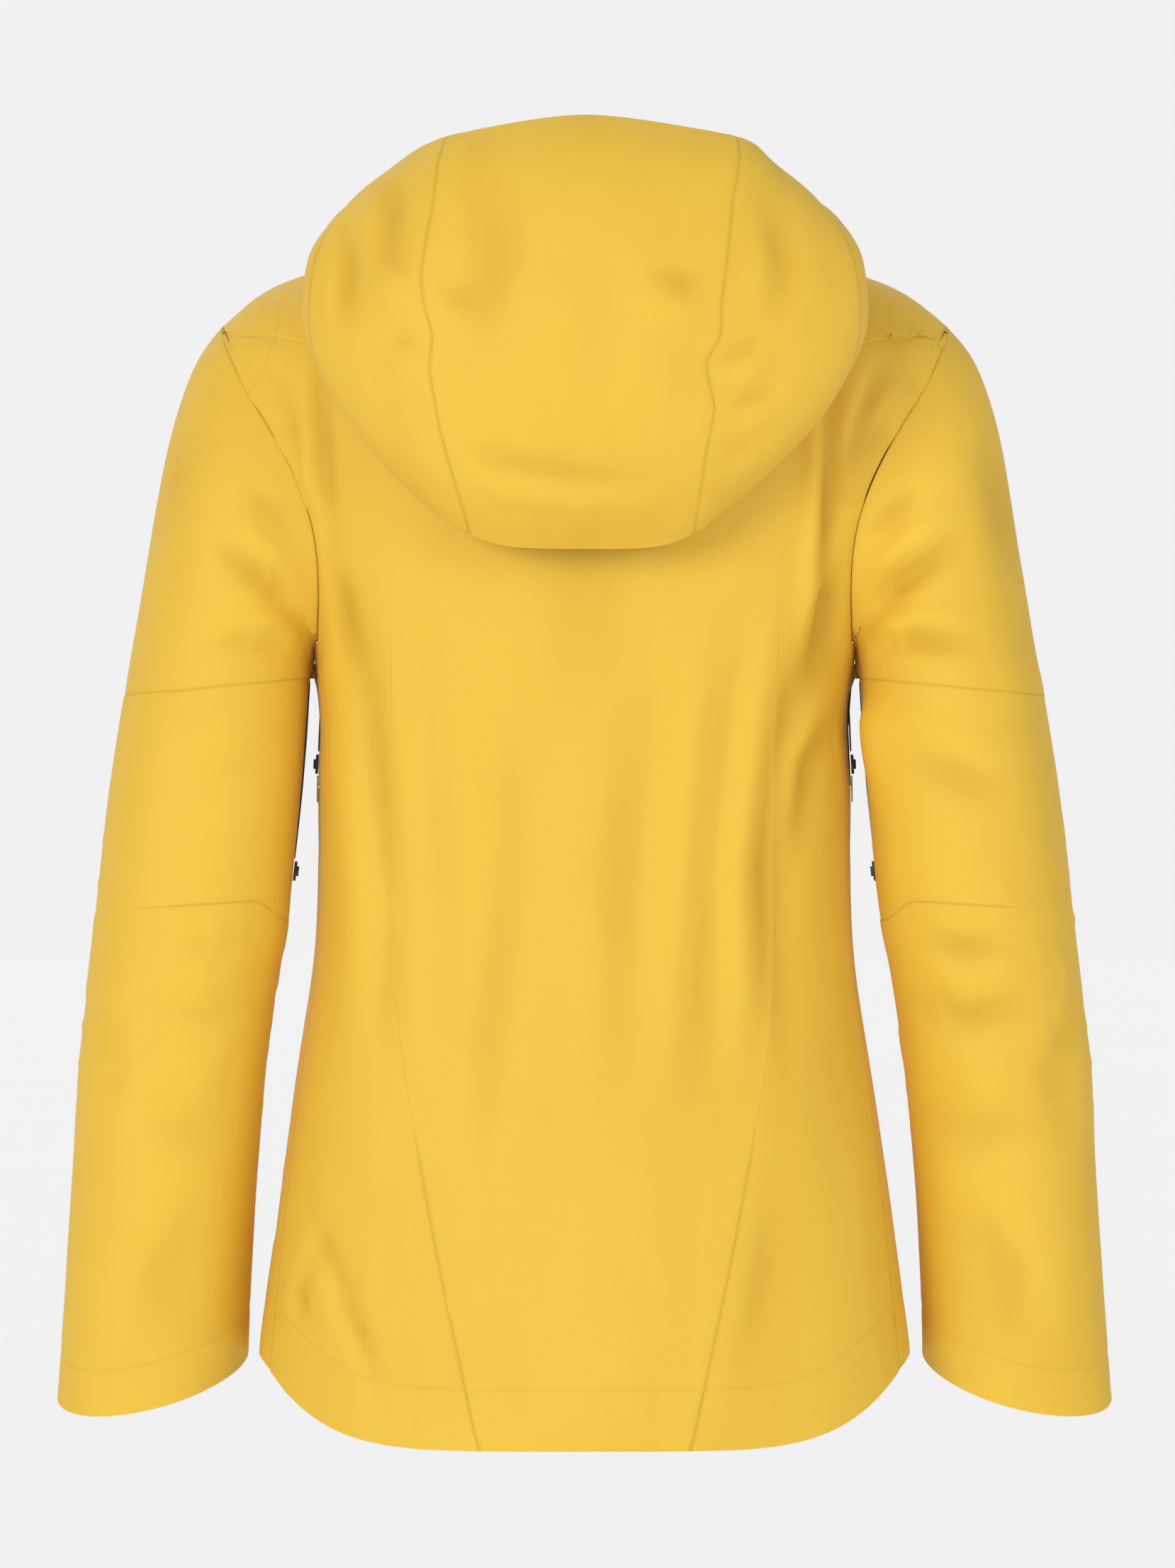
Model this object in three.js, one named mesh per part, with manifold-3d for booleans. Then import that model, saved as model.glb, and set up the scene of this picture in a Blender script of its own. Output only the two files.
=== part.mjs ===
// A hooded hardshell jacket in its worn shape, with its hood laid back and its front zip closed.
// Millimetres. +Z is up, the front faces -Y and the wearer's left is +X.
// The origin is the underside of the hanging loop at the nape, where a peg bears.

import * as THREE from "three";
import { mergeVertices } from "three/addons/utils/BufferGeometryUtils.js";
import Module from "manifold-3d";

const wasm = await Module();
wasm.setup();

const DEG = Math.PI / 180;

// ---- driving dimensions ----

const FABRIC = 1.6; // three-layer shell fabric with its seam allowance
const LINING = 1.2; // inner facing fabric
const SEAM = 0.4; // open width of a seam between two panels
const REST_GAP = 0.3; // clearance between pieces that touch
const FACING_GAP = 1.2; // between the shell and a facing sewn inside it

const CENTRE_Y = -75; // the shoulder ridge, seen from the side
const SQUARENESS = 2.3; // 2 would make the body's sections ellipses

const HEM_Z = -694; // the hem at the sides
const TAIL_DROP = 55; // how much lower the back hem hangs
const HEM_HALF_WIDTH = 197;
const HEM_BACK_Y = 62;
const WAIST_Z = -440;
const WAIST_HALF_WIDTH = 163;
const WAIST_BACK_Y = 36;
const NECK_HALF_WIDTH = 79;
const NECK_BACK_Y = 11;
const NECK_SIDE_Z = -8;
const NECK_BACK_Z = -14;
const NECK_FRONT_Z = -55;
const HEM_FACING_DEPTH = 37;
const COLLAR_HEIGHT = 62;
const COLLAR_FRONT_HEIGHT = 75;

const FRONT_HEM_Y = -228; // the front zip is one straight line, leaning back towards the neck
const FRONT_LEAN = 0.11; // its run towards the back for each millimetre up

const PRINCESS_HEM_X = 64; // half width of the back centre panel at the hem
const PRINCESS_TOP_X = 116; // and above the waist
const SIDE_PANEL_HEM = 42; // half width of the side panel at the hem
const SIDE_PANEL_TOP = 9; // and at its top, under the pit zip
const PIT_ZIP_FOOT_Z = -350; // the pit zip's end on the body
const PIT_SLOT = 5; // half width of the slot that the pit zip fills

const CUFF_OPENING_DEPTH = 45; // half the cuff's depth from front to back
const CUFF_DROP = 20; // how much lower the back of the cuff hangs than its sides
const SLEEVE_SEAM_T = 4; // sleeve rings: the cross seam on the upper arm,
const ELBOW_SEAM_T = 6; // the elbow seam,
const ELBOW_END_T = 7.5; // where the elbow's soft zone ends,
const CUFF_T = 10; // and the cuff's edge

const HOOD_SEAM = 1.05; // hood columns: the seam of the centre panel,
const HOOD_SIDE_END = 2.5; // where the side panel turns to the front,
const HOOD_FRONT_END = 5; // and the front end beside the chin
const BRIM_DEPTH = 0.45; // rows of the hood that the brim covers

const ZIP_SLOT = 3.6; // half the open width between the two front panels
const COIL_HEIGHT = 3;
const COIL_PROUD = 0.2; // how far the coil stands out of the panels
const TAPE_WIDTH = 14;
const TAPE_THICKNESS = 0.8;
const STORM_FLAP_WIDTH = 44;
const ZIP_FOOT = 16; // the front zip's end above the hem, for its box
const SLIDER = { width: 10, length: 15, height: 3.4 };
const PULLER = { width: 8, length: 42, thickness: 1.8 };

const POCKET_ANGLE = 147 * DEG; // round the body from the middle of the back
const POCKET_TOP_Z = -478;
const POCKET_FOOT_Z = -634;
const POCKET_ZIP_WIDTH = 22;
const SMALL_SLIDER = { width: 8, length: 12, height: 3 };
const SMALL_PULLER = { width: 6, length: 30, thickness: 1.6 };

const TAB_START = 205 * DEG; // the cuff tab's sewn end, round the sleeve from its outer edge by the back
const TAB_END = 300 * DEG;
const TAB_T = [9.25, 9.66];

const LOOP = { halfGap: 18, band: 6, thickness: 1.5, foot: 5 };

const COLOURS = {
  shell: 0xf0c24c,
  lining: 0xd9d6cf,
  tape: 0xd9ab3a,
  dark: 0x2b2521,
  mesh: 0x3a3532,
};

// ---- materials ----

function fabric(colour, roughness) {
  return new THREE.MeshStandardMaterial({
    color: colour,
    roughness,
    metalness: 0,
  });
}

const MATERIALS = {
  shell: fabric(COLOURS.shell, 0.72),
  lining: fabric(COLOURS.lining, 0.9),
  tape: fabric(COLOURS.tape, 0.6),
  dark: fabric(COLOURS.dark, 0.45),
  mesh: fabric(COLOURS.mesh, 0.95),
};

// ---- curves and grids ----

const lerp = (a, b, f) => a + (b - a) * f;
const point = (x, y, z) => new THREE.Vector3(x, y, z);

// Evenly spaced values from one to another, both included.
function steps(from, to, count) {
  return Array.from({ length: count + 1 }, (_, i) => lerp(from, to, i / count));
}

// A smooth curve through a list of equal-length number rows, one unit of t apart.
function through(rows, t) {
  const last = rows.length - 1;
  const at = Math.min(Math.max(t, 0), last);
  const i = Math.min(Math.floor(at), last - 1);
  const f = at - i;
  const [p, q, r, s] = [i - 1, i, i + 1, i + 2].map((k) => rows[Math.min(Math.max(k, 0), last)]);
  return q.map((value, k) => {
    const before = i > 0 ? (r[k] - p[k]) / 2 : r[k] - value;
    const after = i < last - 1 ? (s[k] - value) / 2 : r[k] - value;
    const f2 = f * f;
    const f3 = f2 * f;
    return (
      (2 * f3 - 3 * f2 + 1) * value +
      (f3 - 2 * f2 + f) * before +
      (3 * f2 - 2 * f3) * r[k] +
      (f3 - f2) * after
    );
  });
}

// The value between low and high where a function changes from negative to positive.
function crossing(f, low, high) {
  let [a, b] = [low, high];
  for (let i = 0; i < 50; i++) {
    const middle = (a + b) / 2;
    if (f(middle) < 0) a = middle;
    else b = middle;
  }
  return (a + b) / 2;
}

// The outward normal of a surface(u, v), where dv x du points outwards.
function normalOf(surface, u, v) {
  const step = 2e-3;
  const du = surface(u + step, v).sub(surface(u - step, v));
  const dv = surface(u, v + step).sub(surface(u, v - step));
  return dv.cross(du).normalize();
}

// A closed shell over a patch of surface(u, v). edges(v) gives the first and last u of a row.
// columns is a count, or the columns' shares of the way across. lift moves the patch out along the
// normals, and a wrapped patch closes on itself round u.
function shell(surface, { edges, columns: spacing, rows, thickness = FABRIC, lift = 0, wrapped = false }) {
  const shares = Array.isArray(spacing) ? spacing : steps(0, 1, spacing);
  const columns = shares.length - 1;
  const across = wrapped ? columns : columns + 1;
  const outer = [];
  const inner = [];
  for (const v of rows) {
    const [first, last] = edges(v);
    for (let i = 0; i < across; i++) {
      const u = lerp(first, last, shares[i]);
      const normal = normalOf(surface, u, v);
      outer.push(surface(u, v).addScaledVector(normal, lift));
      inner.push(surface(u, v).addScaledVector(normal, lift - thickness));
    }
  }
  const under = outer.length;
  const faces = [];
  const quad = (a, b, c, d) => faces.push(a, c, b, a, d, c);
  const quadAcross = (a, b, c, d) => quad(b, c, d, a);
  const at = (row, column) => row * across + (column % across);
  const lastRow = rows.length - 1;
  for (let row = 0; row < lastRow; row++)
    for (let i = 0; i < columns; i++) {
      const [a, b, c, d] = [at(row, i), at(row, i + 1), at(row + 1, i + 1), at(row + 1, i)];
      const [first, last] = edges(rows[row]);
      if (lerp(first, last, (shares[i] + shares[i + 1]) / 2) < 0) {
        quadAcross(a, b, c, d);
        quad(under + b, under + a, under + d, under + c);
      } else {
        quad(a, b, c, d);
        quad(under + a, under + d, under + c, under + b);
      }
    }
  for (let i = 0; i < columns; i++) {
    quad(at(0, i), under + at(0, i), under + at(0, i + 1), at(0, i + 1));
    quad(at(lastRow, i), at(lastRow, i + 1), under + at(lastRow, i + 1), under + at(lastRow, i));
  }
  if (!wrapped)
    for (let row = 0; row < lastRow; row++) {
      const [a, b] = [at(row, 0), at(row + 1, 0)];
      const [c, d] = [at(row, columns), at(row + 1, columns)];
      quad(a, b, under + b, under + a);
      quad(c, under + c, under + d, d);
    }
  const positions = [...outer, ...inner].flatMap((p) => [p.x, p.y, p.z]);
  const geometry = new THREE.BufferGeometry();
  geometry.setAttribute("position", new THREE.Float32BufferAttribute(positions, 3));
  geometry.setIndex(faces);
  geometry.computeVertexNormals();
  return geometry;
}

// The same geometry on the wearer's other side.
function mirrored(geometry) {
  const copy = (geometry.index ? geometry.toNonIndexed() : geometry.clone()).scale(-1, 1, 1);
  const { array } = copy.attributes.position;
  for (let i = 0; i < array.length; i += 9)
    for (let k = i + 3; k < i + 6; k++) [array[k], array[k + 3]] = [array[k + 3], array[k]];
  copy.computeVertexNormals();
  return copy;
}

function solidOf(geometry) {
  const bare = geometry.clone();
  for (const name of Object.keys(bare.attributes)) if (name !== "position") bare.deleteAttribute(name);
  const merged = mergeVertices(bare, 1e-3);
  return new wasm.Manifold(
    new wasm.Mesh({
      numProp: 3,
      vertProperties: merged.attributes.position.array,
      triVerts: new Uint32Array(merged.index.array),
    }),
  );
}

function geometryOf(solid) {
  const mesh = solid.getMesh();
  const geometry = new THREE.BufferGeometry();
  geometry.setAttribute("position", new THREE.BufferAttribute(mesh.vertProperties, 3));
  geometry.setIndex(new THREE.BufferAttribute(mesh.triVerts, 1));
  return geometry;
}

function joined(first, ...rest) {
  return geometryOf(rest.reduce((sum, g) => sum.add(solidOf(g)), solidOf(first)));
}

const jacket = new THREE.Group();

function piece(name, geometry, material, group = jacket) {
  const mesh = new THREE.Mesh(geometry, material);
  mesh.name = name;
  group.add(mesh);
  return mesh;
}

// One piece for each side: the left one as drawn, the right one mirrored.
function pair(name, geometry, material) {
  piece("left_" + name, geometry, material);
  piece("right_" + name, mirrored(geometry), material);
}

// ---- the body ----

const frontY = (z) => FRONT_HEM_Y + FRONT_LEAN * (z - HEM_Z);

// Rings from hem to neck: half width, back y, height at the side, at the back and at the front,
// and how sharply the height leaves that of the side.
const BODY_RINGS = [
  [HEM_HALF_WIDTH, HEM_BACK_Y, HEM_Z, HEM_Z - TAIL_DROP, HEM_Z, 5],
  ruledRing(0.3, 0.3),
  ruledRing(0.65, 0),
  [WAIST_HALF_WIDTH, WAIST_BACK_Y, WAIST_Z, WAIST_Z, WAIST_Z, 2],
  [162, 37, -350, -350, -350, 2],
  [161.5, 43, -290, -290, -290, 2],
  [179, 49, -215, -215, -215, 2],
  [212, 51, -150, -155, -165, 2],
  [230, 47, -100, -112, -130, 2],
  [216, 38, -64, -82, -105, 2],
  [183, 28, -45, -60, -88, 2],
  [133, 17, -27, -38, -71, 2],
  [NECK_HALF_WIDTH, NECK_BACK_Y, NECK_SIDE_Z, NECK_BACK_Z, NECK_FRONT_Z, 2],
];
const NECK_LEVEL = BODY_RINGS.length - 1;

// A ring between hem and waist, where the body is straight up its length, so that a zip can lie on it.
function ruledRing(share, tail) {
  const z = lerp(HEM_Z, WAIST_Z, share);
  return [
    lerp(HEM_HALF_WIDTH, WAIST_HALF_WIDTH, share),
    lerp(HEM_BACK_Y, WAIST_BACK_Y, share),
    z,
    z - TAIL_DROP * tail,
    z,
    lerp(5, 2, share),
  ];
}

const POWER = 2 / SQUARENESS;

// The body's surface: angle runs from the middle of the back by the wearer's left, level from hem to neck.
function body(angle, level) {
  return ringPoint(through(BODY_RINGS, level), angle);
}

function ringPoint([halfWidth, backY, sideZ, backZ, frontZ, sharpness], angle) {
  const [s, c] = [Math.sin(angle), Math.cos(angle)];
  const share = 1 - Math.abs(s) ** sharpness;
  const z = sideZ + ((c > 0 ? backZ : frontZ) - sideZ) * share;
  const reach = c > 0 ? backY - CENTRE_Y : CENTRE_Y - frontY(z);
  const x = halfWidth * Math.sign(s) * Math.abs(s) ** POWER;
  return point(x, CENTRE_Y + reach * Math.sign(c) * Math.abs(c) ** POWER, z);
}

// The level where the body's side line has a height.
const levelAt = (z) => crossing((level) => through(BODY_RINGS, level)[2] - z, 0, NECK_LEVEL);

// The angle in the back quarter, or in the front one, where the surface lies a distance from the middle.
function angleAtX(x, level, front = false) {
  const halfWidth = through(BODY_RINGS, level)[0];
  const angle = Math.asin(Math.min(1, (x / halfWidth) ** (1 / POWER)));
  return front ? Math.PI - angle : angle;
}

// The angle beside the side line where the surface lies a distance behind it, or in front of it.
function angleFromSide(distance, level, front = false) {
  const [, backY, sideZ] = through(BODY_RINGS, level);
  const reach = front ? CENTRE_Y - frontY(sideZ) : backY - CENTRE_Y;
  const angle = Math.acos(Math.min(1, (distance / reach) ** (1 / POWER)));
  return front ? Math.PI - angle : angle;
}

// The armhole, as x by height: its curve seen from behind.
const ARMHOLE = [
  [-60, 221],
  [-82, 217],
  [-120, 198],
  [-170, 170],
  [-220, 161.5],
  [-262, 162.5],
  [-300, 166],
];

function armholeX(z) {
  const i = Math.max(
    0,
    Math.min(
      ARMHOLE.length - 2,
      ARMHOLE.findIndex((row, k) => k < ARMHOLE.length - 1 && z > ARMHOLE[k + 1][0]),
    ),
  );
  const share = (ARMHOLE[i][0] - z) / (ARMHOLE[i][0] - ARMHOLE[i + 1][0]);
  return through(ARMHOLE, (z <= ARMHOLE.at(-1)[0] ? ARMHOLE.length - 2 : i) + share)[1];
}

const sideReach = (level) => {
  const [halfWidth, , sideZ] = through(BODY_RINGS, level);
  return halfWidth - armholeX(sideZ);
};
const ARMPIT_LEVEL = crossing(sideReach, 4.6, 7);
const SHOULDER_LEVEL = crossing((level) => -sideReach(level), 8, 10);

// The angle where a level meets the armhole, in the back quarter or the front one.
function armholeAngle(level, front) {
  const outside = (share) => {
    const angle = front ? Math.PI - share : share;
    const p = body(angle, level);
    return p.x - armholeX(p.z);
  };
  const share = crossing(outside, 0, Math.PI / 2);
  return front ? Math.PI - share : share;
}

// A level between armpit and shoulder, from a share that gives the armhole an even spacing.
function armholeLevel(share) {
  return lerp(ARMPIT_LEVEL, SHOULDER_LEVEL, (1 - Math.cos(Math.PI * share)) / 2);
}
const ARMHOLE_STEPS = 8;

const PIT_FOOT_LEVEL = levelAt(PIT_ZIP_FOOT_Z);
const LOWER_LEVELS = [...steps(0, 3, 4), ...steps(3, PIT_FOOT_LEVEL, 1).slice(1)];
const PIT_LEVELS = steps(PIT_FOOT_LEVEL, ARMPIT_LEVEL, 2);
const ARM_LEVELS = steps(0, 1, ARMHOLE_STEPS).map(armholeLevel);
const TOP_LEVELS = steps(SHOULDER_LEVEL, NECK_LEVEL, 4);
const BODY_LEVELS = [LOWER_LEVELS, PIT_LEVELS.slice(1), ARM_LEVELS.slice(1), TOP_LEVELS.slice(1)].flat();

const SEAM_ANGLE = SEAM / 2 / WAIST_HALF_WIDTH;

// The seam between the back centre panel and the back side panel.
function princessAngle(level) {
  const x = Math.min(1, level / 3.2);
  const shoulderShare = Math.max(0, (level - 8) / (NECK_LEVEL - 8));
  const middle = lerp(PRINCESS_HEM_X, PRINCESS_TOP_X, Math.sin((x * Math.PI) / 2));
  return angleAtX(lerp(middle, NECK_HALF_WIDTH * 0.55, shoulderShare), level);
}

const SLOT_TAPER = 8; // how fast the side panel's width narrows to the slot, for each level

const sidePanelHalf = (level) => lerp(SIDE_PANEL_HEM, SIDE_PANEL_TOP, level / PIT_FOOT_LEVEL);

// Where the panels of the back and the front end towards the side: at the side panel, then at the
// pit zip's slot, then at the armhole, and above the shoulder at the shoulder seam.
function sideEdge(level, front) {
  if (level >= SHOULDER_LEVEL) return Math.PI / 2 + (front ? SEAM_ANGLE : -SEAM_ANGLE);
  const past = level - PIT_FOOT_LEVEL;
  const halfWidth =
    past <= 0 ? sidePanelHalf(level) : Math.max(PIT_SLOT, SIDE_PANEL_TOP - SLOT_TAPER * past);
  const slot = angleFromSide(halfWidth + SEAM / 2, level, front);
  if (level <= ARMPIT_LEVEL) return slot;
  const arm = armholeAngle(level, front);
  return front ? Math.max(slot, arm) : Math.min(slot, arm);
}

const FRONT_SHARES = [0, 0.16, 0.32, 0.47, 0.6, 0.72, 0.83, 0.93, 1]; // closer towards the zip
const frontEdge = (level) => angleAtX(ZIP_SLOT, level, true);

function bodyPanel(edges, columns, rows, options = {}) {
  return shell(body, { edges, columns, rows, ...options });
}

function bodyPanels() {
  const centre = (level) => princessAngle(level) - SEAM_ANGLE;
  piece(
    "back_centre_panel",
    bodyPanel((level) => [-centre(level), centre(level)], 8, BODY_LEVELS),
    MATERIALS.shell,
  );
  pair(
    "back_side_panel",
    bodyPanel((level) => [princessAngle(level) + SEAM_ANGLE, sideEdge(level, false)], 5, BODY_LEVELS),
    MATERIALS.shell,
  );
  pair(
    "front_panel",
    bodyPanel((level) => [sideEdge(level, true), frontEdge(level)], FRONT_SHARES, BODY_LEVELS),
    MATERIALS.shell,
  );
  const halfSide = (level) => sidePanelHalf(level) - SEAM / 2;
  pair(
    "side_panel",
    bodyPanel(
      (level) => [angleFromSide(halfSide(level), level), angleFromSide(halfSide(level), level, true)],
      4,
      [...LOWER_LEVELS.slice(0, -1), PIT_FOOT_LEVEL - 0.004],
    ),
    MATERIALS.shell,
  );
}

// The zip in the slot between the side panel and the armpit, and the patch that ends it.
function bodyPitZip() {
  const halfWidth = PIT_SLOT - SEAM;
  pair(
    "body_pit_zip",
    bodyPanel(
      (level) => [angleFromSide(halfWidth, level), angleFromSide(halfWidth, level, true)],
      2,
      [PIT_FOOT_LEVEL + 0.01, ...PIT_LEVELS.slice(1, -1), ARMPIT_LEVEL - 0.02],
    ),
    MATERIALS.tape,
  );
  const garageTop = levelAt(PIT_ZIP_FOOT_Z + 7);
  const garageFoot = levelAt(PIT_ZIP_FOOT_Z - 9);
  const taper = (level) => lerp(3, 7, (level - garageFoot) / (garageTop - garageFoot));
  pair(
    "pit_zip_garage",
    bodyPanel(
      (level) => [angleFromSide(taper(level), level), angleFromSide(taper(level), level, true)],
      2,
      [garageFoot, garageTop],
      { thickness: 0.8, lift: 0.8 + REST_GAP },
    ),
    MATERIALS.shell,
  );
}

function hemFacing() {
  const edge = (level) => angleAtX(STORM_FLAP_WIDTH / 2 + 3, level, true);
  const rows = [0.01, levelAt(HEM_Z + HEM_FACING_DEPTH)];
  piece(
    "hem_facing",
    bodyPanel((level) => [-edge(level), edge(level)], 30, rows, {
      thickness: LINING,
      lift: -(FABRIC + 2 * FACING_GAP),
    }),
    MATERIALS.lining,
  );
}

// ---- the collar ----

const COLLAR_TOP_Z = NECK_BACK_Z + COLLAR_HEIGHT;
const COLLAR_FRONT_TOP_Z = NECK_FRONT_Z + COLLAR_FRONT_HEIGHT;
const COLLAR_RINGS = [
  BODY_RINGS[NECK_LEVEL],
  [76, NECK_BACK_Y - 2, NECK_SIDE_Z + 27, NECK_BACK_Z + 31, NECK_FRONT_Z + 38, 2],
  [72, NECK_BACK_Y - 5, NECK_SIDE_Z + 52, COLLAR_TOP_Z, COLLAR_FRONT_TOP_Z, 2],
];

const collarSurface = (angle, level) => ringPoint(through(COLLAR_RINGS, level), angle);
const COLLAR_SHARES = [0, 0.03, ...steps(0.07, 0.93, 20), 0.97, 1]; // closer towards the zip

function collarAngleAtX(x, level) {
  return Math.PI - Math.asin((x / through(COLLAR_RINGS, level)[0]) ** (1 / POWER));
}

const ofSpan = (share, i, all) => (share - all[0]) / (all.at(-1) - all[0]);

function collar() {
  const edge = (x) => (level) => [-collarAngleAtX(x, level), collarAngleAtX(x, level)];
  piece(
    "collar_outer",
    shell(collarSurface, { edges: edge(ZIP_SLOT), columns: COLLAR_SHARES, rows: [0.03, 1, 2] }),
    MATERIALS.shell,
  );
  piece(
    "collar_lining",
    shell(collarSurface, {
      edges: edge(STORM_FLAP_WIDTH / 2 + 2),
      columns: COLLAR_SHARES.slice(1, -1).map(ofSpan),
      rows: [0.04, 1, 1.98],
      thickness: LINING,
      lift: -(FABRIC + FACING_GAP),
    }),
    MATERIALS.lining,
  );
}

// The loop that a peg holds: an arch of webbing on two feet, sewn inside the collar's foot.
function hangLoop() {
  const { halfGap, band, thickness, foot } = LOOP;
  const seatZ = NECK_BACK_Z + 6;
  const outline = new THREE.Shape();
  outline.moveTo(-halfGap - band, seatZ);
  outline.lineTo(-halfGap - band, band - 2);
  outline.quadraticCurveTo(-halfGap - band, band, -halfGap - band + 2, band);
  outline.lineTo(halfGap + band - 2, band);
  outline.quadraticCurveTo(halfGap + band, band, halfGap + band, band - 2);
  outline.lineTo(halfGap + band, seatZ);
  outline.lineTo(halfGap, seatZ);
  outline.lineTo(halfGap, 0);
  outline.lineTo(-halfGap, 0);
  outline.lineTo(-halfGap, seatZ);
  const settings = { depth: thickness, bevelEnabled: false, curveSegments: 3 };
  const arch = new THREE.ExtrudeGeometry(outline, settings);
  arch.translate(0, 0, -thickness / 2).rotateX(Math.PI / 2);
  const collarLean = 2.9; // of the lining, at the height of the loop's feet
  const liningY = NECK_BACK_Y - FABRIC - FACING_GAP - LINING - collarLean;
  const feet = [-1, 1].map((side) => {
    const depth = liningY - 2 * REST_GAP + thickness / 2;
    const block = new THREE.BoxGeometry(band, depth, foot);
    return block.translate(side * (halfGap + band / 2), depth / 2 - thickness / 2, seatZ + foot / 2);
  });
  piece("hang_loop", joined(arch, ...feet), MATERIALS.tape);
}

// ---- the sleeves ----

// Half the body's width where a sleeve hangs beside it, from the waist down to the hem.
function widthBeside(z) {
  const share = (z - WAIST_Z) / (HEM_Z - WAIST_Z);
  return lerp(WAIST_HALF_WIDTH, HEM_HALF_WIDTH, Math.min(Math.max(share, 0), 1));
}

// Rings from the first below the armhole to the cuff: the outer edge's x and z, the inner edge's,
// the middle's y, half the depth from front to back, and how much lower the back hangs.
// Each x is counted from the body's side at the height of the ring's inner edge.
const SLEEVE_RINGS = [
  [79, -103, 1, -266, -74, 75, 0],
  [96, -168, 1.8, -271, -72, 73, 0],
  [106, -232, 2.5, -277, -70, 70, 0],
  [117, -295, 4, -284, -67, 67, 0],
  [127, -362, 8.5, -350, -64, 63, 0],
  [134, -425, 16.5, -418, -62, 60, 0],
  [135, -504, 20, -500, -68, 56, 2],
  [131.6, -573, 18.1, -566, -78, 52, 6],
  [127.2, -650, 13.2, -640, -90, 48, 12],
  [125, -722, 8, -694, -100, CUFF_OPENING_DEPTH, CUFF_DROP],
];

// A point of the armhole, round from the shoulder by the back to the armpit and up the front.
function armholePoint(angle) {
  const turn = ((angle % (2 * Math.PI)) + 2 * Math.PI) % (2 * Math.PI);
  const front = turn > Math.PI;
  const level = lerp(ARMPIT_LEVEL, SHOULDER_LEVEL, (1 + Math.cos(turn)) / 2);
  return body(armholeAngle(level, front), level);
}

const armholeCache = new Map();
function armholeRow(angle) {
  const key = angle.toFixed(6);
  if (!armholeCache.has(key)) armholeCache.set(key, armholePoint(angle).toArray());
  return armholeCache.get(key);
}

// The sleeve's surface: angle as in armholePoint, t from the armhole to the cuff.
function sleeve(angle, t) {
  const [c, s] = [Math.cos(angle), Math.sin(angle)];
  const rows = SLEEVE_RINGS.map(([outerX, outerZ, innerX, innerZ, middleY, depth, drop]) => [
    widthBeside(innerZ) + (outerX + innerX) / 2 + ((outerX - innerX) / 2) * c,
    middleY + depth * s,
    (outerZ + innerZ) / 2 + ((outerZ - innerZ) / 2) * c - drop * s,
  ]);
  return point(...through([armholeRow(angle), ...rows], t));
}

// The angle from the sleeve's inner line to a distance beside it.
function slotAngle(distance, t) {
  const depth = t < 1 ? SLEEVE_RINGS[0][5] : through(SLEEVE_RINGS, t - 1)[5];
  return Math.asin(distance / depth);
}

const SLEEVE_COLUMNS = 16;
const SLEEVE_START = 0.05;
const JOINT_GAP = 0.008; // in sleeve rings, between two lengths of sleeve

function sleevePanel(from, to, rowCount, slotted) {
  const rows = steps(from, to, rowCount);
  const reach = (t) => Math.PI - (slotted ? slotAngle(PIT_SLOT, Math.max(t, 0.2)) : 0);
  return shell(sleeve, {
    edges: (t) => [-reach(t), reach(t)],
    columns: SLEEVE_COLUMNS,
    rows,
    wrapped: !slotted,
  });
}

function sleeves() {
  const seam = SLEEVE_SEAM_T;
  pair("shoulder_sleeve", sleevePanel(SLEEVE_START, seam - JOINT_GAP, 6, true), MATERIALS.shell);
  pair("upper_sleeve", sleevePanel(seam, ELBOW_SEAM_T - JOINT_GAP, 3, true), MATERIALS.shell);
  pair("elbow_sleeve", sleevePanel(ELBOW_SEAM_T, ELBOW_END_T - JOINT_GAP, 3, false), MATERIALS.shell);
  pair("forearm_sleeve", sleevePanel(ELBOW_END_T, CUFF_T, 4, false), MATERIALS.shell);
  const half = (t) => slotAngle(PIT_SLOT - SEAM, t);
  pair(
    "sleeve_pit_zip",
    shell(sleeve, {
      edges: (t) => [Math.PI - half(t), Math.PI + half(t)],
      columns: 2,
      rows: [seam - 0.02, seam + 1, ELBOW_SEAM_T - 0.05],
    }),
    MATERIALS.tape,
  );
}

function cuffs() {
  const columns = 6;
  const patch = (from, count, options) =>
    shell(sleeve, { edges: () => [from, TAB_END], columns: count, rows: steps(...TAB_T, 1), ...options });
  const patchStart = lerp(TAB_START, TAB_END, 1 / columns);
  const thickness = 0.8;
  const lift = 0.8 + thickness;
  pair("cuff_loop_patch", patch(patchStart, columns - 1, { thickness, lift }), MATERIALS.mesh);
  const tab = { thickness: FABRIC, lift: lift + REST_GAP + FABRIC };
  pair("cuff_tab", patch(TAB_START, columns, tab), MATERIALS.shell);
}

// ---- the hood ----

// Columns from the middle of the back round to the front, each from the fold at the nape, down the
// back, round the pouch's bottom and up its outside to the face's edge: x, y, z.
const HOOD_NET = [
  [
    [0, 52, -95], [0, 66, -175], [0, 92, -208], [0, 138, -150],
    [0, 150, -60], [0, 127, 18], [0, 92, 53],
  ],
  [
    [62, 47, -76], [68, 62, -160], [66, 86, -200], [76, 128, -145],
    [86, 138, -60], [83, 116, 10], [76, 82, 42],
  ],
  [
    [102, 27, -53], [118, 50, -125], [122, 70, -152], [146, 98, -112],
    [149, 100, -50], [139, 78, -2], [115, 48, 24],
  ],
  [
    [112, -10, -8], [140, 32, -62], [166, 50, -74], [169, 62, -55],
    [164, 58, -26], [148, 40, -8], [126, 8, 10],
  ],
  [
    [94, -104, -4], [114, -80, 2], [130, -56, -6], [134, -48, 3],
    [126, -55, 12], [112, -72, 18], [98, -86, 20],
  ],
  [
    [45, -156, -36], [50, -156, -24], [54, -153, -12], [54, -149, -2],
    [51, -147, 8], [48, -146, 14], [45, -146, 18],
  ],
];
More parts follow.
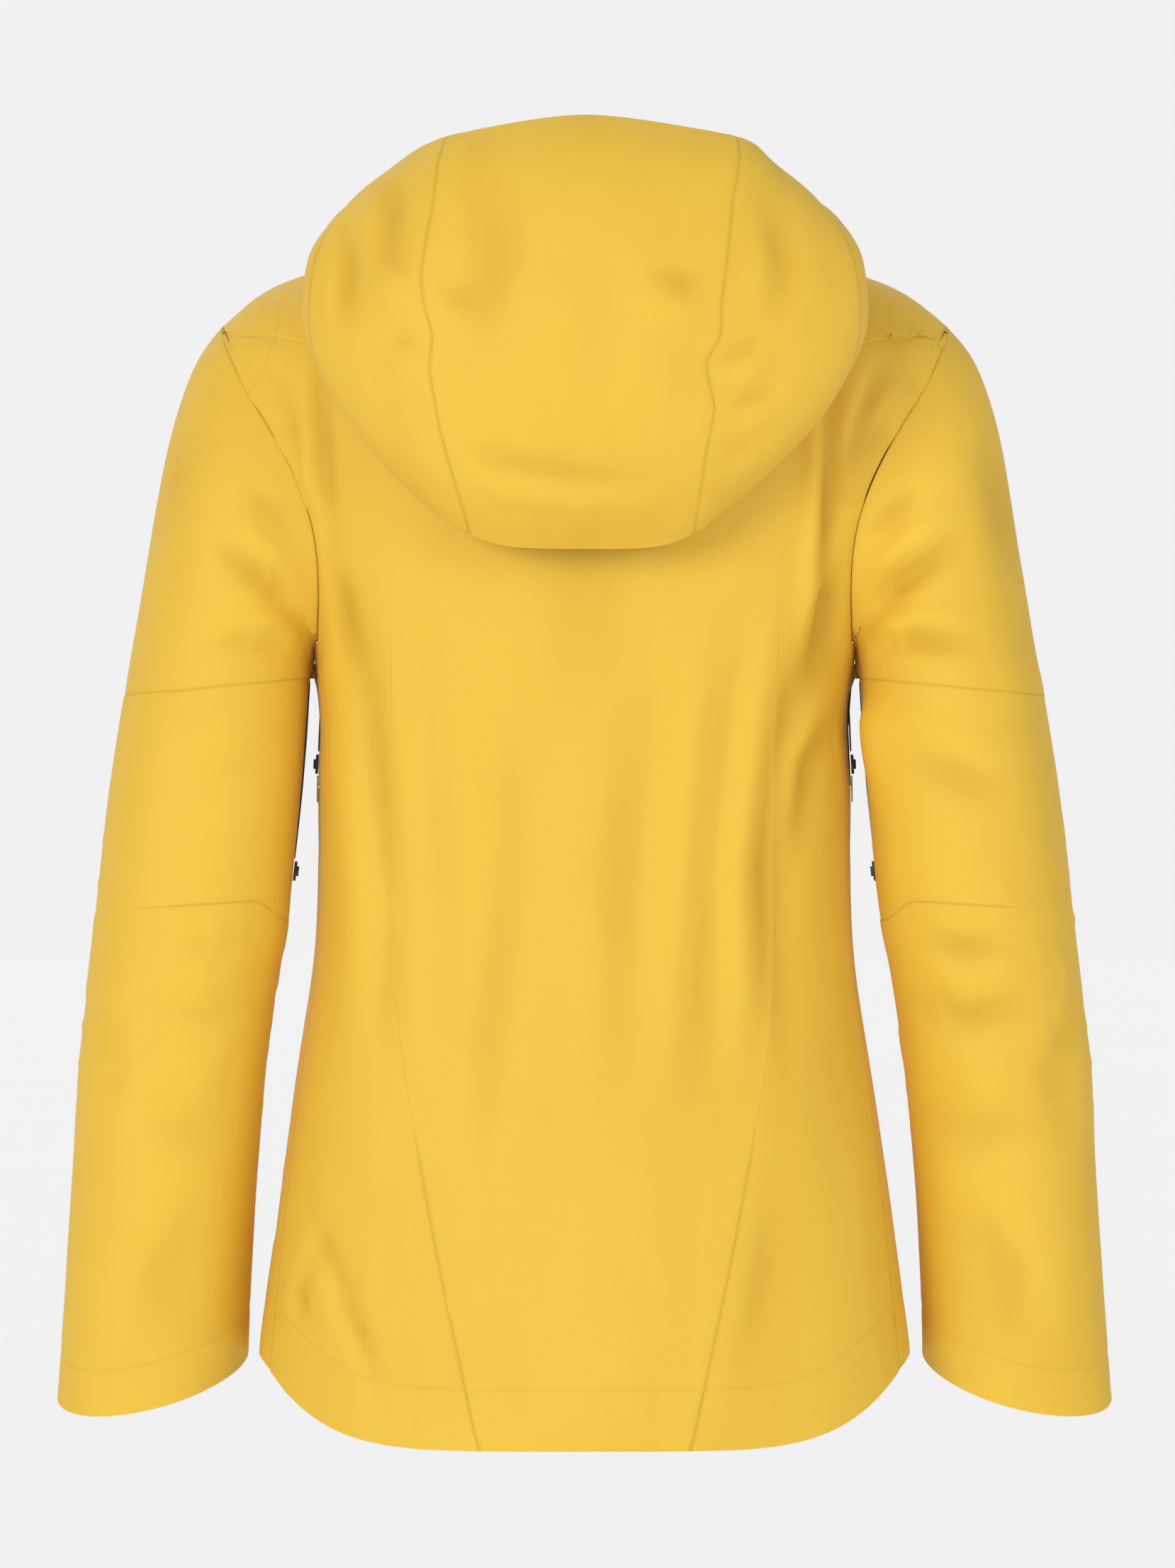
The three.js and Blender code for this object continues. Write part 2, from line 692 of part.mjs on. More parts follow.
const HOOD_NECK_ANGLES = [0, 35, 65, 90, 122, 152];
const HOOD_ROWS = HOOD_NET[0].length;
const HOOD_SEAT = 0.9; // from the neck seam out to the hood's edge

// A point beside the collar's foot, where the hood is sewn on.
function hoodNeck(column) {
  const [degrees] = through(HOOD_NECK_ANGLES.map((a) => [a]), Math.abs(column));
  const foot = ringPoint(BODY_RINGS[NECK_LEVEL], degrees * DEG * Math.sign(column || 1));
  const out = point(foot.x, foot.y - CENTRE_Y, 0).normalize();
  return foot.addScaledVector(out, HOOD_SEAT).add(point(0, 0, 4));
}

// The hood's surface: column from -5 at the chin's right, by the back, to 5 at its left, and row
// from 0 at the neck to 7 at the face.
function hood(column, row) {
  const columns = steps(-HOOD_FRONT_END, HOOD_FRONT_END, 2 * HOOD_FRONT_END).map((c) => {
    const net = HOOD_NET[Math.round(Math.abs(c))].map(([x, y, z]) => [c < 0 ? -x : x, y, z]);
    return through([hoodNeck(c).toArray(), ...net], row);
  });
  return point(...through(columns, column + HOOD_FRONT_END));
}

function hoodPanels() {
  const free = 1.04; // the row where the hood leaves the strip that is sewn to the neck
  const panel = (from, to, columns, rows, options = {}) =>
    shell(hood, { edges: () => [from, to], columns, rows, ...options });
  const rows = steps(free, HOOD_ROWS - 0.02, 9);
  const gap = 0.004;
  piece("hood_centre_panel", panel(-HOOD_SEAM + gap, HOOD_SEAM - gap, 8, rows), MATERIALS.shell);
  piece("right_hood_panel", panel(-HOOD_SIDE_END, -HOOD_SEAM - gap, 6, rows), MATERIALS.shell);
  piece("left_hood_panel", panel(HOOD_SEAM + gap, HOOD_SIDE_END, 6, rows), MATERIALS.shell);
  piece(
    "hood_neck_strip",
    panel(-HOOD_SIDE_END + 0.02, HOOD_SIDE_END - 0.02, 14, [0.03, 0.35, 0.7, free - 0.02]),
    MATERIALS.shell,
  );
  const front = HOOD_SIDE_END + 0.03;
  const frontRows = steps(0.06, HOOD_ROWS - 0.02, 7);
  piece("right_hood_front", panel(-HOOD_FRONT_END, -front, 6, frontRows), MATERIALS.shell);
  piece("left_hood_front", panel(front, HOOD_FRONT_END, 6, frontRows), MATERIALS.shell);
  const brimRows = [HOOD_ROWS - BRIM_DEPTH, HOOD_ROWS - 0.03];
  const brim = { thickness: LINING, lift: -(FABRIC + FACING_GAP) };
  piece(
    "hood_brim",
    panel(-HOOD_SIDE_END + 0.1, HOOD_SIDE_END - 0.1, 14, brimRows, brim),
    MATERIALS.shell,
  );
}

// ---- zips ----

// A bar with rounded ends: a across, b along and c thick, its middle on the origin.
function bar(across, along, thick, radius) {
  const [w, h] = [across / 2, along / 2];
  const r = Math.min(radius, w - 0.01, h - 0.01);
  const outline = new THREE.Shape();
  outline.moveTo(-w + r, -h);
  outline.lineTo(w - r, -h);
  outline.absarc(w - r, -h + r, r, -Math.PI / 2, 0);
  outline.lineTo(w, h - r);
  outline.absarc(w - r, h - r, r, 0, Math.PI / 2);
  outline.lineTo(-w + r, h);
  outline.absarc(-w + r, h - r, r, Math.PI / 2, Math.PI);
  outline.lineTo(-w, -h + r);
  outline.absarc(-w + r, -h + r, r, Math.PI, 1.5 * Math.PI);
  const settings = { depth: thick, bevelEnabled: false, curveSegments: 1 };
  return new THREE.ExtrudeGeometry(outline, settings).translate(0, 0, -thick / 2);
}

const PLATE_SHARE = 0.55; // of a slider's height
const BRIDGE_SHARE = 0.5; // of a slider's length
const PIN_GAP = 0.45; // round a puller's rounded end

// A slider with a bridge on it: x across, y up the zip, z outwards, its underside at z = 0.
function sliderGeometry({ width, length, height }) {
  const plateHeight = height * PLATE_SHARE;
  const bridgeHeight = height * 0.6;
  const plate = bar(width, length, plateHeight, 3);
  const bridge = bar(width * 0.35, length * BRIDGE_SHARE, bridgeHeight, 1);
  plate.translate(0, 0, plateHeight / 2);
  bridge.translate(0, 0, height - bridgeHeight / 2);
  return joined(plate, bridge);
}

// A puller that hangs below its slider's bridge, its pin's axis through the origin.
function pullerGeometry({ width, length, thickness }) {
  return bar(width, length, thickness, 2).translate(0, (thickness - length) / 2, 0);
}

// Where a puller's pin lies on its slider's frame: below the bridge and clear of the plate.
function pullerSeat({ length, height }, { thickness }) {
  const reach = thickness / 2 + PIN_GAP;
  return { down: length * BRIDGE_SHARE / 2 + reach, out: height * PLATE_SHARE + reach };
}

// A frame on a zip: x across it, y up its length, z out of the cloth.
function zipFrame(origin, along, outward) {
  const up = along.clone().normalize();
  const across = up.clone().cross(outward).normalize();
  const out = across.clone().cross(up).normalize();
  const group = new THREE.Group();
  group.applyMatrix4(new THREE.Matrix4().makeBasis(across, up, out).setPosition(origin));
  jacket.add(group);
  return group;
}

function placed(mesh, x, y, z) {
  mesh.position.set(x, y, z);
  return mesh;
}

const SIDES = [
  ["left", 1],
  ["right", -1],
];

const FRONT_ALONG = point(0, FRONT_LEAN, 1).normalize();
const FRONT_OUT = point(0, -1, FRONT_LEAN).normalize();

// Where the storm flap's middle lies, from the zip, to pass behind the shell as it curves back.
function clearOfShell(frame) {
  frame.updateMatrixWorld();
  const x = STORM_FLAP_WIDTH / 2;
  const beside = [
    ...steps(0, NECK_LEVEL, 4 * NECK_LEVEL).map((l) => body(angleAtX(x, l, true), l)),
    ...steps(0, 2, 8).map((l) => collarSurface(collarAngleAtX(x, l), l)),
  ];
  const deepest = Math.min(...beside.map((at) => frame.worldToLocal(at).z));
  return deepest - FABRIC - 2 * REST_GAP - LINING / 2;
}

function frontZip() {
  const foot = point(0, FRONT_HEM_Y, HEM_Z);
  const frame = zipFrame(foot, FRONT_ALONG, FRONT_OUT);
  const total = (COLLAR_FRONT_TOP_Z - HEM_Z) / FRONT_ALONG.z;
  const coilLength = total - ZIP_FOOT - 6;
  const middle = ZIP_FOOT + coilLength / 2;
  const coilWidth = ZIP_SLOT - 2 * REST_GAP;
  const coilZ = COIL_PROUD - COIL_HEIGHT / 2;
  const depth = coilZ - COIL_HEIGHT / 2 - REST_GAP - TAPE_THICKNESS / 2;
  for (const [side, sign] of SIDES) {
    const coilBox = new THREE.BoxGeometry(coilWidth, coilLength, COIL_HEIGHT);
    const coil = piece(side + "_zip_coil", coilBox, MATERIALS.tape, frame);
    placed(coil, sign * (coilWidth + REST_GAP) / 2, middle, coilZ);
    const tapeBox = new THREE.BoxGeometry(TAPE_WIDTH, coilLength, TAPE_THICKNESS);
    const tape = piece(side + "_zip_tape", tapeBox, MATERIALS.tape, frame);
    placed(tape, sign * (TAPE_WIDTH / 2 + 0.8), middle, depth);
  }
  const boxLength = ZIP_FOOT - 3;
  const box = bar(2 * ZIP_SLOT - 2 * REST_GAP, boxLength, COIL_HEIGHT, 1);
  placed(piece("zip_box", box, MATERIALS.dark, frame), 0, boxLength / 2 + 2.4, coilZ);
  const restY = ZIP_FOOT + coilLength - SLIDER.length / 2;
  const sliderZ = COIL_PROUD + REST_GAP;
  const slider = piece("front_slider", sliderGeometry(SLIDER), MATERIALS.dark, frame);
  placed(slider, 0, restY, sliderZ);
  const seat = pullerSeat(SLIDER, PULLER);
  const puller = piece("front_puller", pullerGeometry(PULLER), MATERIALS.dark, frame);
  placed(puller, 0, restY - seat.down, sliderZ + seat.out);
  const flapBox = new THREE.BoxGeometry(STORM_FLAP_WIDTH, coilLength, LINING);
  const flap = piece("storm_flap", flapBox, MATERIALS.lining, frame);
  const behindTape = depth - (TAPE_THICKNESS + LINING) / 2 - REST_GAP;
  placed(flap, 0, middle, Math.min(behindTape, clearOfShell(frame)));
}

// The same vectors on the left, or turned over to the right.
function onSide(sign, ...vectors) {
  return vectors.map((vector) => vector.clone().multiply(point(sign, 1, 1)));
}

function pocketZips() {
  const top = body(POCKET_ANGLE, levelAt(POCKET_TOP_Z));
  const foot = body(POCKET_ANGLE, levelAt(POCKET_FOOT_Z));
  const along = top.clone().sub(foot);
  const length = along.length();
  const outward = normalOf(body, POCKET_ANGLE, levelAt((POCKET_TOP_Z + POCKET_FOOT_Z) / 2));
  const lift = REST_GAP + 0.1;
  for (const [side, sign] of SIDES) {
    const frame = zipFrame(...onSide(sign, foot, along, outward));
    const tape = bar(POCKET_ZIP_WIDTH, length, 1.2, 4).translate(0, 0, lift + 0.6);
    const coil = bar(5, length - 16, 1.4, 1).translate(0, 0, lift + 1.4);
    placed(piece(side + "_pocket_zip", joined(tape, coil), MATERIALS.tape, frame), 0, length / 2, 0);
    const sliderZ = lift + 2.1 + REST_GAP;
    const restY = length - 8 - SMALL_SLIDER.length / 2;
    const slider = sliderGeometry(SMALL_SLIDER);
    placed(piece(side + "_pocket_slider", slider, MATERIALS.dark, frame), 0, restY, sliderZ);
    const seat = pullerSeat(SMALL_SLIDER, SMALL_PULLER);
    const tab = pullerGeometry(SMALL_PULLER);
    const puller = piece(side + "_pocket_puller", tab, MATERIALS.dark, frame);
    placed(puller, 0, restY - seat.down, sliderZ + seat.out);
  }
  const middleZ = (POCKET_FOOT_Z + POCKET_TOP_Z) / 2;
  const bagLevels = [POCKET_FOOT_Z - 20, middleZ, POCKET_TOP_Z + 8].map(levelAt);
  pair(
    "pocket_bag",
    bodyPanel(() => [POCKET_ANGLE - 26 * DEG, POCKET_ANGLE + 13 * DEG], 5, bagLevels, {
      thickness: 2,
      lift: -(FABRIC + 1.5 * FACING_GAP),
    }),
    MATERIALS.mesh,
  );
}

// The pit zip's two sliders on each side: one on the body, one on the sleeve, each at its zip's end.
function pitSliders() {
  const bodyAt = (z) => body(Math.PI / 2, levelAt(z));
  const bodyStart = bodyAt(PIT_ZIP_FOOT_Z + 14);
  const sleeveStart = sleeve(Math.PI, ELBOW_SEAM_T - 0.24);
  const runs = [
    ["body", bodyStart, bodyAt(PIT_ZIP_FOOT_Z + 40).sub(bodyStart), point(1, 0, 0)],
    ["sleeve", sleeveStart, sleeve(Math.PI, ELBOW_SEAM_T - 0.7).sub(sleeveStart), point(-1, 0, 0)],
  ];
  for (const [side, sign] of SIDES)
    for (const [where, ...run] of runs) {
      const frame = zipFrame(...onSide(sign, ...run));
      const slider = sliderGeometry(SMALL_SLIDER);
      const name = side + "_" + where + "_pit_slider";
      placed(piece(name, slider, MATERIALS.dark, frame), 0, 0, REST_GAP + 0.2);
    }
}

bodyPanels();
bodyPitZip();
hemFacing();
collar();
hangLoop();
sleeves();
cuffs();
hoodPanels();
frontZip();
pocketZips();
pitSliders();

export default jacket;
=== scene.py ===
"""A hooded hardshell jacket: panels, seams, folds, zips, sliders and the stage round them."""

import math

import bmesh
import bpy
import numpy as np
from bpy.types import Operator, Panel, PropertyGroup
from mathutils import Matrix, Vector
from mathutils.kdtree import KDTree


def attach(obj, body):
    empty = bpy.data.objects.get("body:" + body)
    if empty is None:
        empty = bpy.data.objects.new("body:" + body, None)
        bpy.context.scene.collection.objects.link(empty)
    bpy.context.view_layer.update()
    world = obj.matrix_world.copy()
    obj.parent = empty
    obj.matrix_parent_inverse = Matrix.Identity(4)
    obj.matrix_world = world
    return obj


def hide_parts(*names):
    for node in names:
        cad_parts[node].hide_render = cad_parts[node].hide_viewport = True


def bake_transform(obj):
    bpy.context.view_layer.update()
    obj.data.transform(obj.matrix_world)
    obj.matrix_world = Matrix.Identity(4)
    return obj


bl_info = {
    "name": "Hardshell Jacket",
    "version": (1, 0, 0),
    "blender": (4, 5, 0),
    "location": "3D View > Sidebar > Jacket",
    "description": "Builds a hooded hardshell jacket from its sewn panels, zips and trims",
    "category": "Object",
}

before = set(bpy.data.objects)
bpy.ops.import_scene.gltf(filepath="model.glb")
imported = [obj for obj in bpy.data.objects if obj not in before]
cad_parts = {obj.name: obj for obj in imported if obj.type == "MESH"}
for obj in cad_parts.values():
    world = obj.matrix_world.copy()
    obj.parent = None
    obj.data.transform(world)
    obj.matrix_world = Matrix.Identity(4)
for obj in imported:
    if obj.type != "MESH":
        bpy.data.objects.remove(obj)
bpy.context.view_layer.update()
SIDES = (("left", 1), ("right", -1))
MM = 0.001

# ---- mesh helpers ----


def only(*objects):
    """Selects these objects alone."""
    bpy.ops.object.select_all(action="DESELECT")
    for obj in objects:
        obj.select_set(True)
    bpy.context.view_layer.objects.active = objects[0]


def points_of(mesh):
    """A mesh's vertices as an array of rows."""
    flat = np.empty(len(mesh.vertices) * 3)
    mesh.vertices.foreach_get("co", flat)
    return flat.reshape(-1, 3)


def normals_of(mesh):
    """A mesh's vertex normals as an array of rows."""
    flat = np.empty(len(mesh.vertices) * 3)
    mesh.vertex_normals.foreach_get("vector", flat)
    return flat.reshape(-1, 3)


def place(mesh, points):
    """Moves a mesh's vertices to these points."""
    mesh.vertices.foreach_set("co", points.ravel())
    mesh.update()


def copy_of(name, *nodes):
    """A new object with a clean, merged copy of one CAD node's mesh, or of several joined."""
    made = []
    for node in nodes:
        obj = bpy.data.objects.new(name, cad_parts[node].data.copy())
        bpy.context.collection.objects.link(obj)
        obj.data.materials.clear()
        made.append(obj)
    only(*made)
    if len(made) > 1:
        bpy.ops.object.join()
    obj = bpy.context.view_layer.objects.active
    obj.name = obj.data.name = name
    bpy.ops.mesh.customdata_custom_splitnormals_clear()
    bpy.ops.object.mode_set(mode="EDIT")
    bpy.ops.mesh.select_all(action="SELECT")
    bpy.ops.mesh.remove_doubles(threshold=2e-6)
    bpy.ops.object.mode_set(mode="OBJECT")
    return obj


SHARP_EDGE = math.radians(62)  # an edge that turns more than this ends one side of a shell
QUAD_BEND = math.radians(50)  # two triangles that bend less than this can be one quad
QUAD_SKEW = math.radians(60)


def two_sides(bm):
    """A thin shell's outer and inner side: its two largest regions of faces that meet smoothly."""
    bm.faces.ensure_lookup_table()
    region = [-1] * len(bm.faces)
    groups = []
    for start in bm.faces:
        if region[start.index] >= 0:
            continue
        region[start.index] = len(groups)
        group, waiting = [], [start]
        while waiting:
            face = waiting.pop()
            group.append(face)
            for edge in face.edges:
                if len(edge.link_faces) != 2 or edge.calc_face_angle() > SHARP_EDGE:
                    continue
                for other in edge.link_faces:
                    if region[other.index] < 0:
                        region[other.index] = len(groups)
                        waiting.append(other)
        groups.append(group)
    groups.sort(key=lambda group: -sum(face.calc_area() for face in group))
    return groups[:2]


def outer_sheet(obj, centre):
    """Keeps the side of a thin shell that faces away from centre, a function of a point."""
    only(obj)
    bpy.ops.object.mode_set(mode="EDIT")
    bpy.ops.mesh.select_all(action="SELECT")
    bpy.ops.mesh.tris_convert_to_quads(face_threshold=QUAD_BEND, shape_threshold=QUAD_SKEW)
    bm = bmesh.from_edit_mesh(obj.data)

    def outward(group):
        """How much a group's faces look away from the centre, by their area."""
        middles = [face.calc_center_median() for face in group]
        return sum(f.calc_area() * f.normal.dot(m - centre(m)) for f, m in zip(group, middles))

    kept = set(max(two_sides(bm), key=outward))
    for face in bm.faces:
        face.select_set(face not in kept)
    bmesh.update_edit_mesh(obj.data)
    bpy.ops.mesh.delete(type="FACE")
    bpy.ops.object.mode_set(mode="OBJECT")


def modify(obj, kind, **settings):
    """Adds a modifier and applies it."""
    only(obj)
    modifier = obj.modifiers.new(kind.title(), kind)
    for key, value in settings.items():
        setattr(modifier, key, value)
    bpy.ops.object.modifier_apply(modifier=modifier.name)


FIT_ROUNDS = 4
FIT_LEVELS = 2
SHEET_LEVELS = 3


def subdivide(obj):
    """Smooths a sheet so that it still passes through its own corners."""
    wanted = points_of(obj.data)
    count = len(wanted)
    modifier = obj.modifiers.new("Smooth", "SUBSURF")
    modifier.levels = modifier.render_levels = FIT_LEVELS
    modifier.boundary_smooth = "PRESERVE_CORNERS"
    for _ in range(FIT_ROUNDS):
        graph = bpy.context.evaluated_depsgraph_get()
        reached = points_of(obj.evaluated_get(graph).data)[:count]
        place(obj.data, points_of(obj.data) + wanted - reached)
        obj.update_tag()
        bpy.context.view_layer.update()
    modifier.levels = modifier.render_levels = SHEET_LEVELS
    only(obj)
    bpy.ops.object.modifier_apply(modifier=modifier.name)


def smooth(obj, angle=38):
    """Shades an object smooth, but for edges that turn more than an angle in degrees."""
    only(obj)
    bpy.ops.object.shade_smooth_by_angle(angle=math.radians(angle))


def save_attribute(obj, name, values):
    """Keeps a number for each vertex, for the materials to read."""
    layer = obj.data.attributes.new(name, "FLOAT", "POINT")
    layer.data.foreach_set("value", values.astype(np.float32))


# ---- folds in the cloth ----


HASH_PRIMES = (73856093, 19349663, 83492791)
SEED_PRIME = 2654435761
MIX_PRIME = 1274126177


def lattice(cells, seed):
    """Fixed random values between -1 and 1 for rows of three whole numbers."""
    mixed = seed * SEED_PRIME
    for axis, prime in enumerate(HASH_PRIMES):
        mixed = mixed ^ (cells[:, axis] * prime)
    mixed = (mixed ^ (mixed >> 13)) * MIX_PRIME
    mixed = (mixed ^ (mixed >> 16)) & 0xFFFF
    return mixed / 32767.5 - 1


def drift(points, size, seed):
    """Smooth random values between -1 and 1 that change over a size (x, y, z) in metres."""
    scaled = points / np.array(size)
    low = np.floor(scaled).astype(np.int64)
    share = scaled - low
    share = share * share * share * (share * (share * 6 - 15) + 10)
    total = np.zeros(len(points))
    for corner in range(8):
        step = np.array([corner & 1, corner >> 1 & 1, corner >> 2 & 1])
        weight = np.prod(np.where(step, share, 1 - share), axis=1)
        total += weight * lattice(low + step, seed)
    return total


def ease(value, low, high):
    """0 below low, 1 above high, smooth between."""
    t = np.clip((value - low) / (high - low), 0, 1)
    return t * t * (3 - 2 * t)


def bump(value, middle, width):
    """A smooth bell of height 1."""
    return np.exp(-(((value - middle) / width) ** 2))


def along(x, z, path):
    """Signed distance from a path of (x, z) points, and the share of the path that is nearest."""
    best = np.full(len(x), 1e9)
    signed = np.zeros(len(x))
    share = np.zeros(len(x))
    spans = [math.dist(a, b) for a, b in zip(path, path[1:])]
    total, run = sum(spans), 0.0
    for (ax, az), (bx, bz), span in zip(path, path[1:], spans):
        ux, uz = (bx - ax) / span, (bz - az) / span
        t = np.clip((x - ax) * ux + (z - az) * uz, 0, span)
        dx, dz = x - ax - t * ux, z - az - t * uz
        away = np.hypot(dx, dz)
        near = away < best
        best = np.where(near, away, best)
        signed = np.where(near, np.sign(ux * dz - uz * dx) * away, signed)
        share = np.where(near, (run + t) / total, share)
        run += span
    return signed, share


def fold(points, path, width, depth, lip):
    """A furrow along a path seen from behind, with a raised lip on one side, tapered to its ends."""
    signed, share = along(points[:, 0], points[:, 2], [(x * MM, z * MM) for x, z in path])
    across = signed / (width * MM)
    taper = 1.1 * np.sin(np.pi * np.clip(share, 0, 1)) ** 1.4
    return depth * MM * taper * (lip * bump(across, 1.5, 1) - bump(across, 0, 1))


def folds(points, furrows):
    """The heights of several furrows together."""
    total = np.zeros(len(points))
    for path, width, depth, lip in furrows:
        total += fold(points, path, width, depth, lip)
    return total


# Furrows: a path of (x, z) points, a width and a depth, all in millimetres, and the lip's share of the depth.
# The right sleeve's furrows are the left one's, mirrored.
BACK_FOLDS = [
    ([(150, -205), (128, -300), (116, -420), (122, -560)], 13, 5.0, 0.9),
    ([(104, -215), (92, -330), (84, -480), (92, -600)], 15, 3.6, 0.9),
    ([(58, -240), (48, -380), (60, -520), (70, -650)], 17, 2.6, 0.9),
    ([(-150, -205), (-124, -300), (-110, -400), (-118, -560)], 13, 5.4, 0.9),
    ([(-104, -210), (-86, -320), (-76, -430), (-60, -560)], 15, 4.0, 0.9),
    ([(-40, -260), (-20, -400), (-26, -560)], 19, 2.0, 0.9),
    ([(-100, -560), (-104, -640), (-92, -720)], 13, 2.2, 0.7),
    ([(176, -590), (150, -640), (128, -700)], 7, 2.8, 0.8),
    ([(160, -650), (138, -676), (120, -715)], 5, 2.4, 0.8),
    ([(184, -640), (162, -676)], 5, 2.0, 0.7),
    ([(150, -610), (170, -650), (176, -690)], 6, 1.8, 0.7),
    ([(-160, -290), (-138, -335), (-128, -400)], 8, 4.0, 0.8),
    ([(-176, -190), (-150, -240), (-138, -300)], 9, 4.5, 0.8),
    ([(172, -190), (150, -236), (140, -290)], 9, 3.4, 0.8),
    ([(158, -74), (159, -120), (157, -170), (154, -220)], 6, 3.4, 1.0),
    ([(-148, -84), (-149, -150), (-148, -205), (-142, -270)], 7, 5.0, 1.0),
    ([(-186, -84), (-172, -120), (-160, -168)], 7, 3.0, 0.9),
    ([(-200, -104), (-184, -132), (-170, -152)], 6, 2.2, 0.8),
    ([(190, -96), (180, -128), (172, -160)], 7, 2.4, 0.8),
]
FRONT_FOLDS = [
    ([(198, -96), (168, -160), (140, -230), (120, -300)], 12, 4.2, 0.9),
    ([(-196, -100), (-160, -170), (-138, -240), (-126, -320)], 12, 4.2, 0.9),
    ([(150, -240), (120, -330), (104, -440)], 14, 3.4, 0.9),
    ([(-152, -250), (-124, -350), (-112, -450)], 14, 3.4, 0.9),
    ([(74, -120), (64, -260), (70, -420), (60, -560)], 16, 2.4, 0.8),
    ([(-70, -140), (-74, -300), (-62, -460)], 16, 2.4, 0.8),
    ([(170, -420), (146, -470), (140, -540)], 9, 2.6, 0.8),
    ([(-170, -430), (-148, -480), (-140, -560)], 9, 2.6, 0.8),
    ([(40, -90), (52, -160), (46, -240)], 9, 1.8, 0.8),
    ([(-42, -84), (-50, -170), (-44, -230)], 9, 1.8, 0.8),
]
SLEEVE_FOLDS = [
    ([(150, -216), (166, -200), (182, -184), (206, -166)], 9, 6.5, 1.1),
    ([(154, -246), (180, -232), (206, -214), (236, -192)], 10, 5.5, 1.0),
    ([(158, -170), (178, -142), (196, -120), (220, -100)], 8, 4.5, 0.9),
    ([(160, -274), (200, -262), (246, -262)], 9, 4.2, 0.9),
    ([(236, -120), (252, -170), (262, -230)], 13, 2.6, 0.7),
    ([(176, -330), (214, -338), (262, -356)], 13, 2.6, 0.7),
    ([(192, -432), (226, -446), (268, -436)], 11, 3.4, 0.8),
    ([(190, -468), (228, -488), (276, -478)], 12, 3.2, 0.8),
    ([(200, -540), (232, -558), (286, -552)], 16, 2.2, 0.7),
    ([(224, -596), (256, -640), (262, -700)], 16, 2.4, 0.7),
    ([(300, -470), (286, -520), (290, -580)], 12, 2.0, 0.7),
]
HOOD_FOLDS = [
    ([(124, -26), (100, -44), (84, -58), (60, -62)], 10, 4.4, 0.9),
    ([(120, -84), (100, -84), (84, -78)], 7, 3.2, 0.9),
    ([(-34, -42), (-62, -50), (-88, -44)], 9, 3.4, 0.9),
    ([(-62, -82), (-84, -94), (-112, -84)], 7, 4.4, 0.9),
    ([(-70, -114), (-94, -120), (-122, -114)], 7, 2.6, 0.8),
    ([(-60, -148), (-84, -150), (-106, -144)], 8, 1.8, 0.8),
    ([(110, -134), (60, -156), (0, -166), (-60, -164)], 9, 2.6, 0.9),
    ([(154, 12), (144, -30), (146, -84)], 9, 3.6, 0.8),
    ([(128, 40), (118, -4), (122, -48)], 10, 2.8, 0.8),
    ([(60, 20), (52, -30), (64, -90)], 18, 1.8, 0.8),
    ([(-110, 10), (-120, -40), (-112, -80)], 10, 2.4, 0.8),
    ([(20, -20), (-14, -60), (-8, -120)], 20, 1.6, 0.8),
]


def soft_rise(points, seed):
    """Broad unevenness that every hanging panel has: upright waves with finer ones on them."""
    return (
        1.7 * drift(points, (0.085, 0.085, 0.34), seed)
        + 0.55 * drift(points, (0.036, 0.036, 0.12), seed + 1)
        + 0.16 * drift(points, (0.015, 0.015, 0.03), seed + 2)
    ) * MM


def creasing(points, size, seed):
    """Thin ridges where cloth has been squeezed, as heights between 0 and 1."""
    return np.clip(1 - np.abs(drift(points, size, seed)) * 3.2, 0, 1) ** 2


def body_relief(points):
    """Heights on the body's panels: furrows at the back and front, and crushed cloth at the hem's left side.
    """
    back = ease(points[:, 1], -0.075, -0.03)
    low = ease(-points[:, 2], 0.52, 0.68)
    waves = soft_rise(points, 11)
    crushed = low * bump(points[:, 0], 0.16, 0.07) * creasing(points, (0.03, 0.05, 0.022), 5)
    front = ease(-points[:, 1], 0.1, 0.14) * ease(np.abs(points[:, 0]), 0.012, 0.034)
    hung = back * folds(points, BACK_FOLDS) + front * folds(points, FRONT_FOLDS)
    return waves + hung + 1.1 * MM * crushed


def sleeve_relief(points):
    """Heights on a sleeve's lengths, creased at the elbow and the armpit. The right sleeve hangs slacker."""
    mirrored = points * np.array([np.sign(points[0, 0]), 1, 1])
    right = points[0, 0] < 0
    seed = 31 if right else 21
    back = ease(points[:, 1], -0.095, -0.06)
    elbow = bump(points[:, 2], -0.46, 0.07)
    armpit = bump(points[:, 2], -0.235, 0.06) * ease(-mirrored[:, 0], -0.245, -0.17)
    strength = 1.0 if right else 0.55
    total = 0.8 * soft_rise(points, seed)
    total += back * strength * folds(mirrored, SLEEVE_FOLDS)
    total += 1.2 * MM * elbow * creasing(points, (0.05, 0.05, 0.022), seed + 3)
    total += 1.4 * MM * armpit * creasing(points, (0.03, 0.04, 0.02), seed + 4)
    if right:
        slump = bump(points[:, 2], -0.318, 0.036) * bump(mirrored[:, 0], 0.168, 0.016)
        total += 8 * MM * slump * ease(points[:, 1], -0.062, -0.035)
    return total


def hood_relief(points):
    """Heights on the hood's panels."""
    back = ease(points[:, 1], 0.07, 0.11)
    total = 0.9 * soft_rise(points * np.array([1, 1, 1.6]), 41)
    return total + back * folds(points, HOOD_FOLDS)


def no_relief(points):
    """Heights on a panel that lies flat."""
    return np.zeros(len(points))


# ---- panels ----


def body_centre(p):
    """The middle of the body at a point's height."""
    return Vector((0, -0.075, p.z))


def hood_centre(p):
    """The middle of the hood's hollow."""
    return Vector((0, 0.09, -0.07))


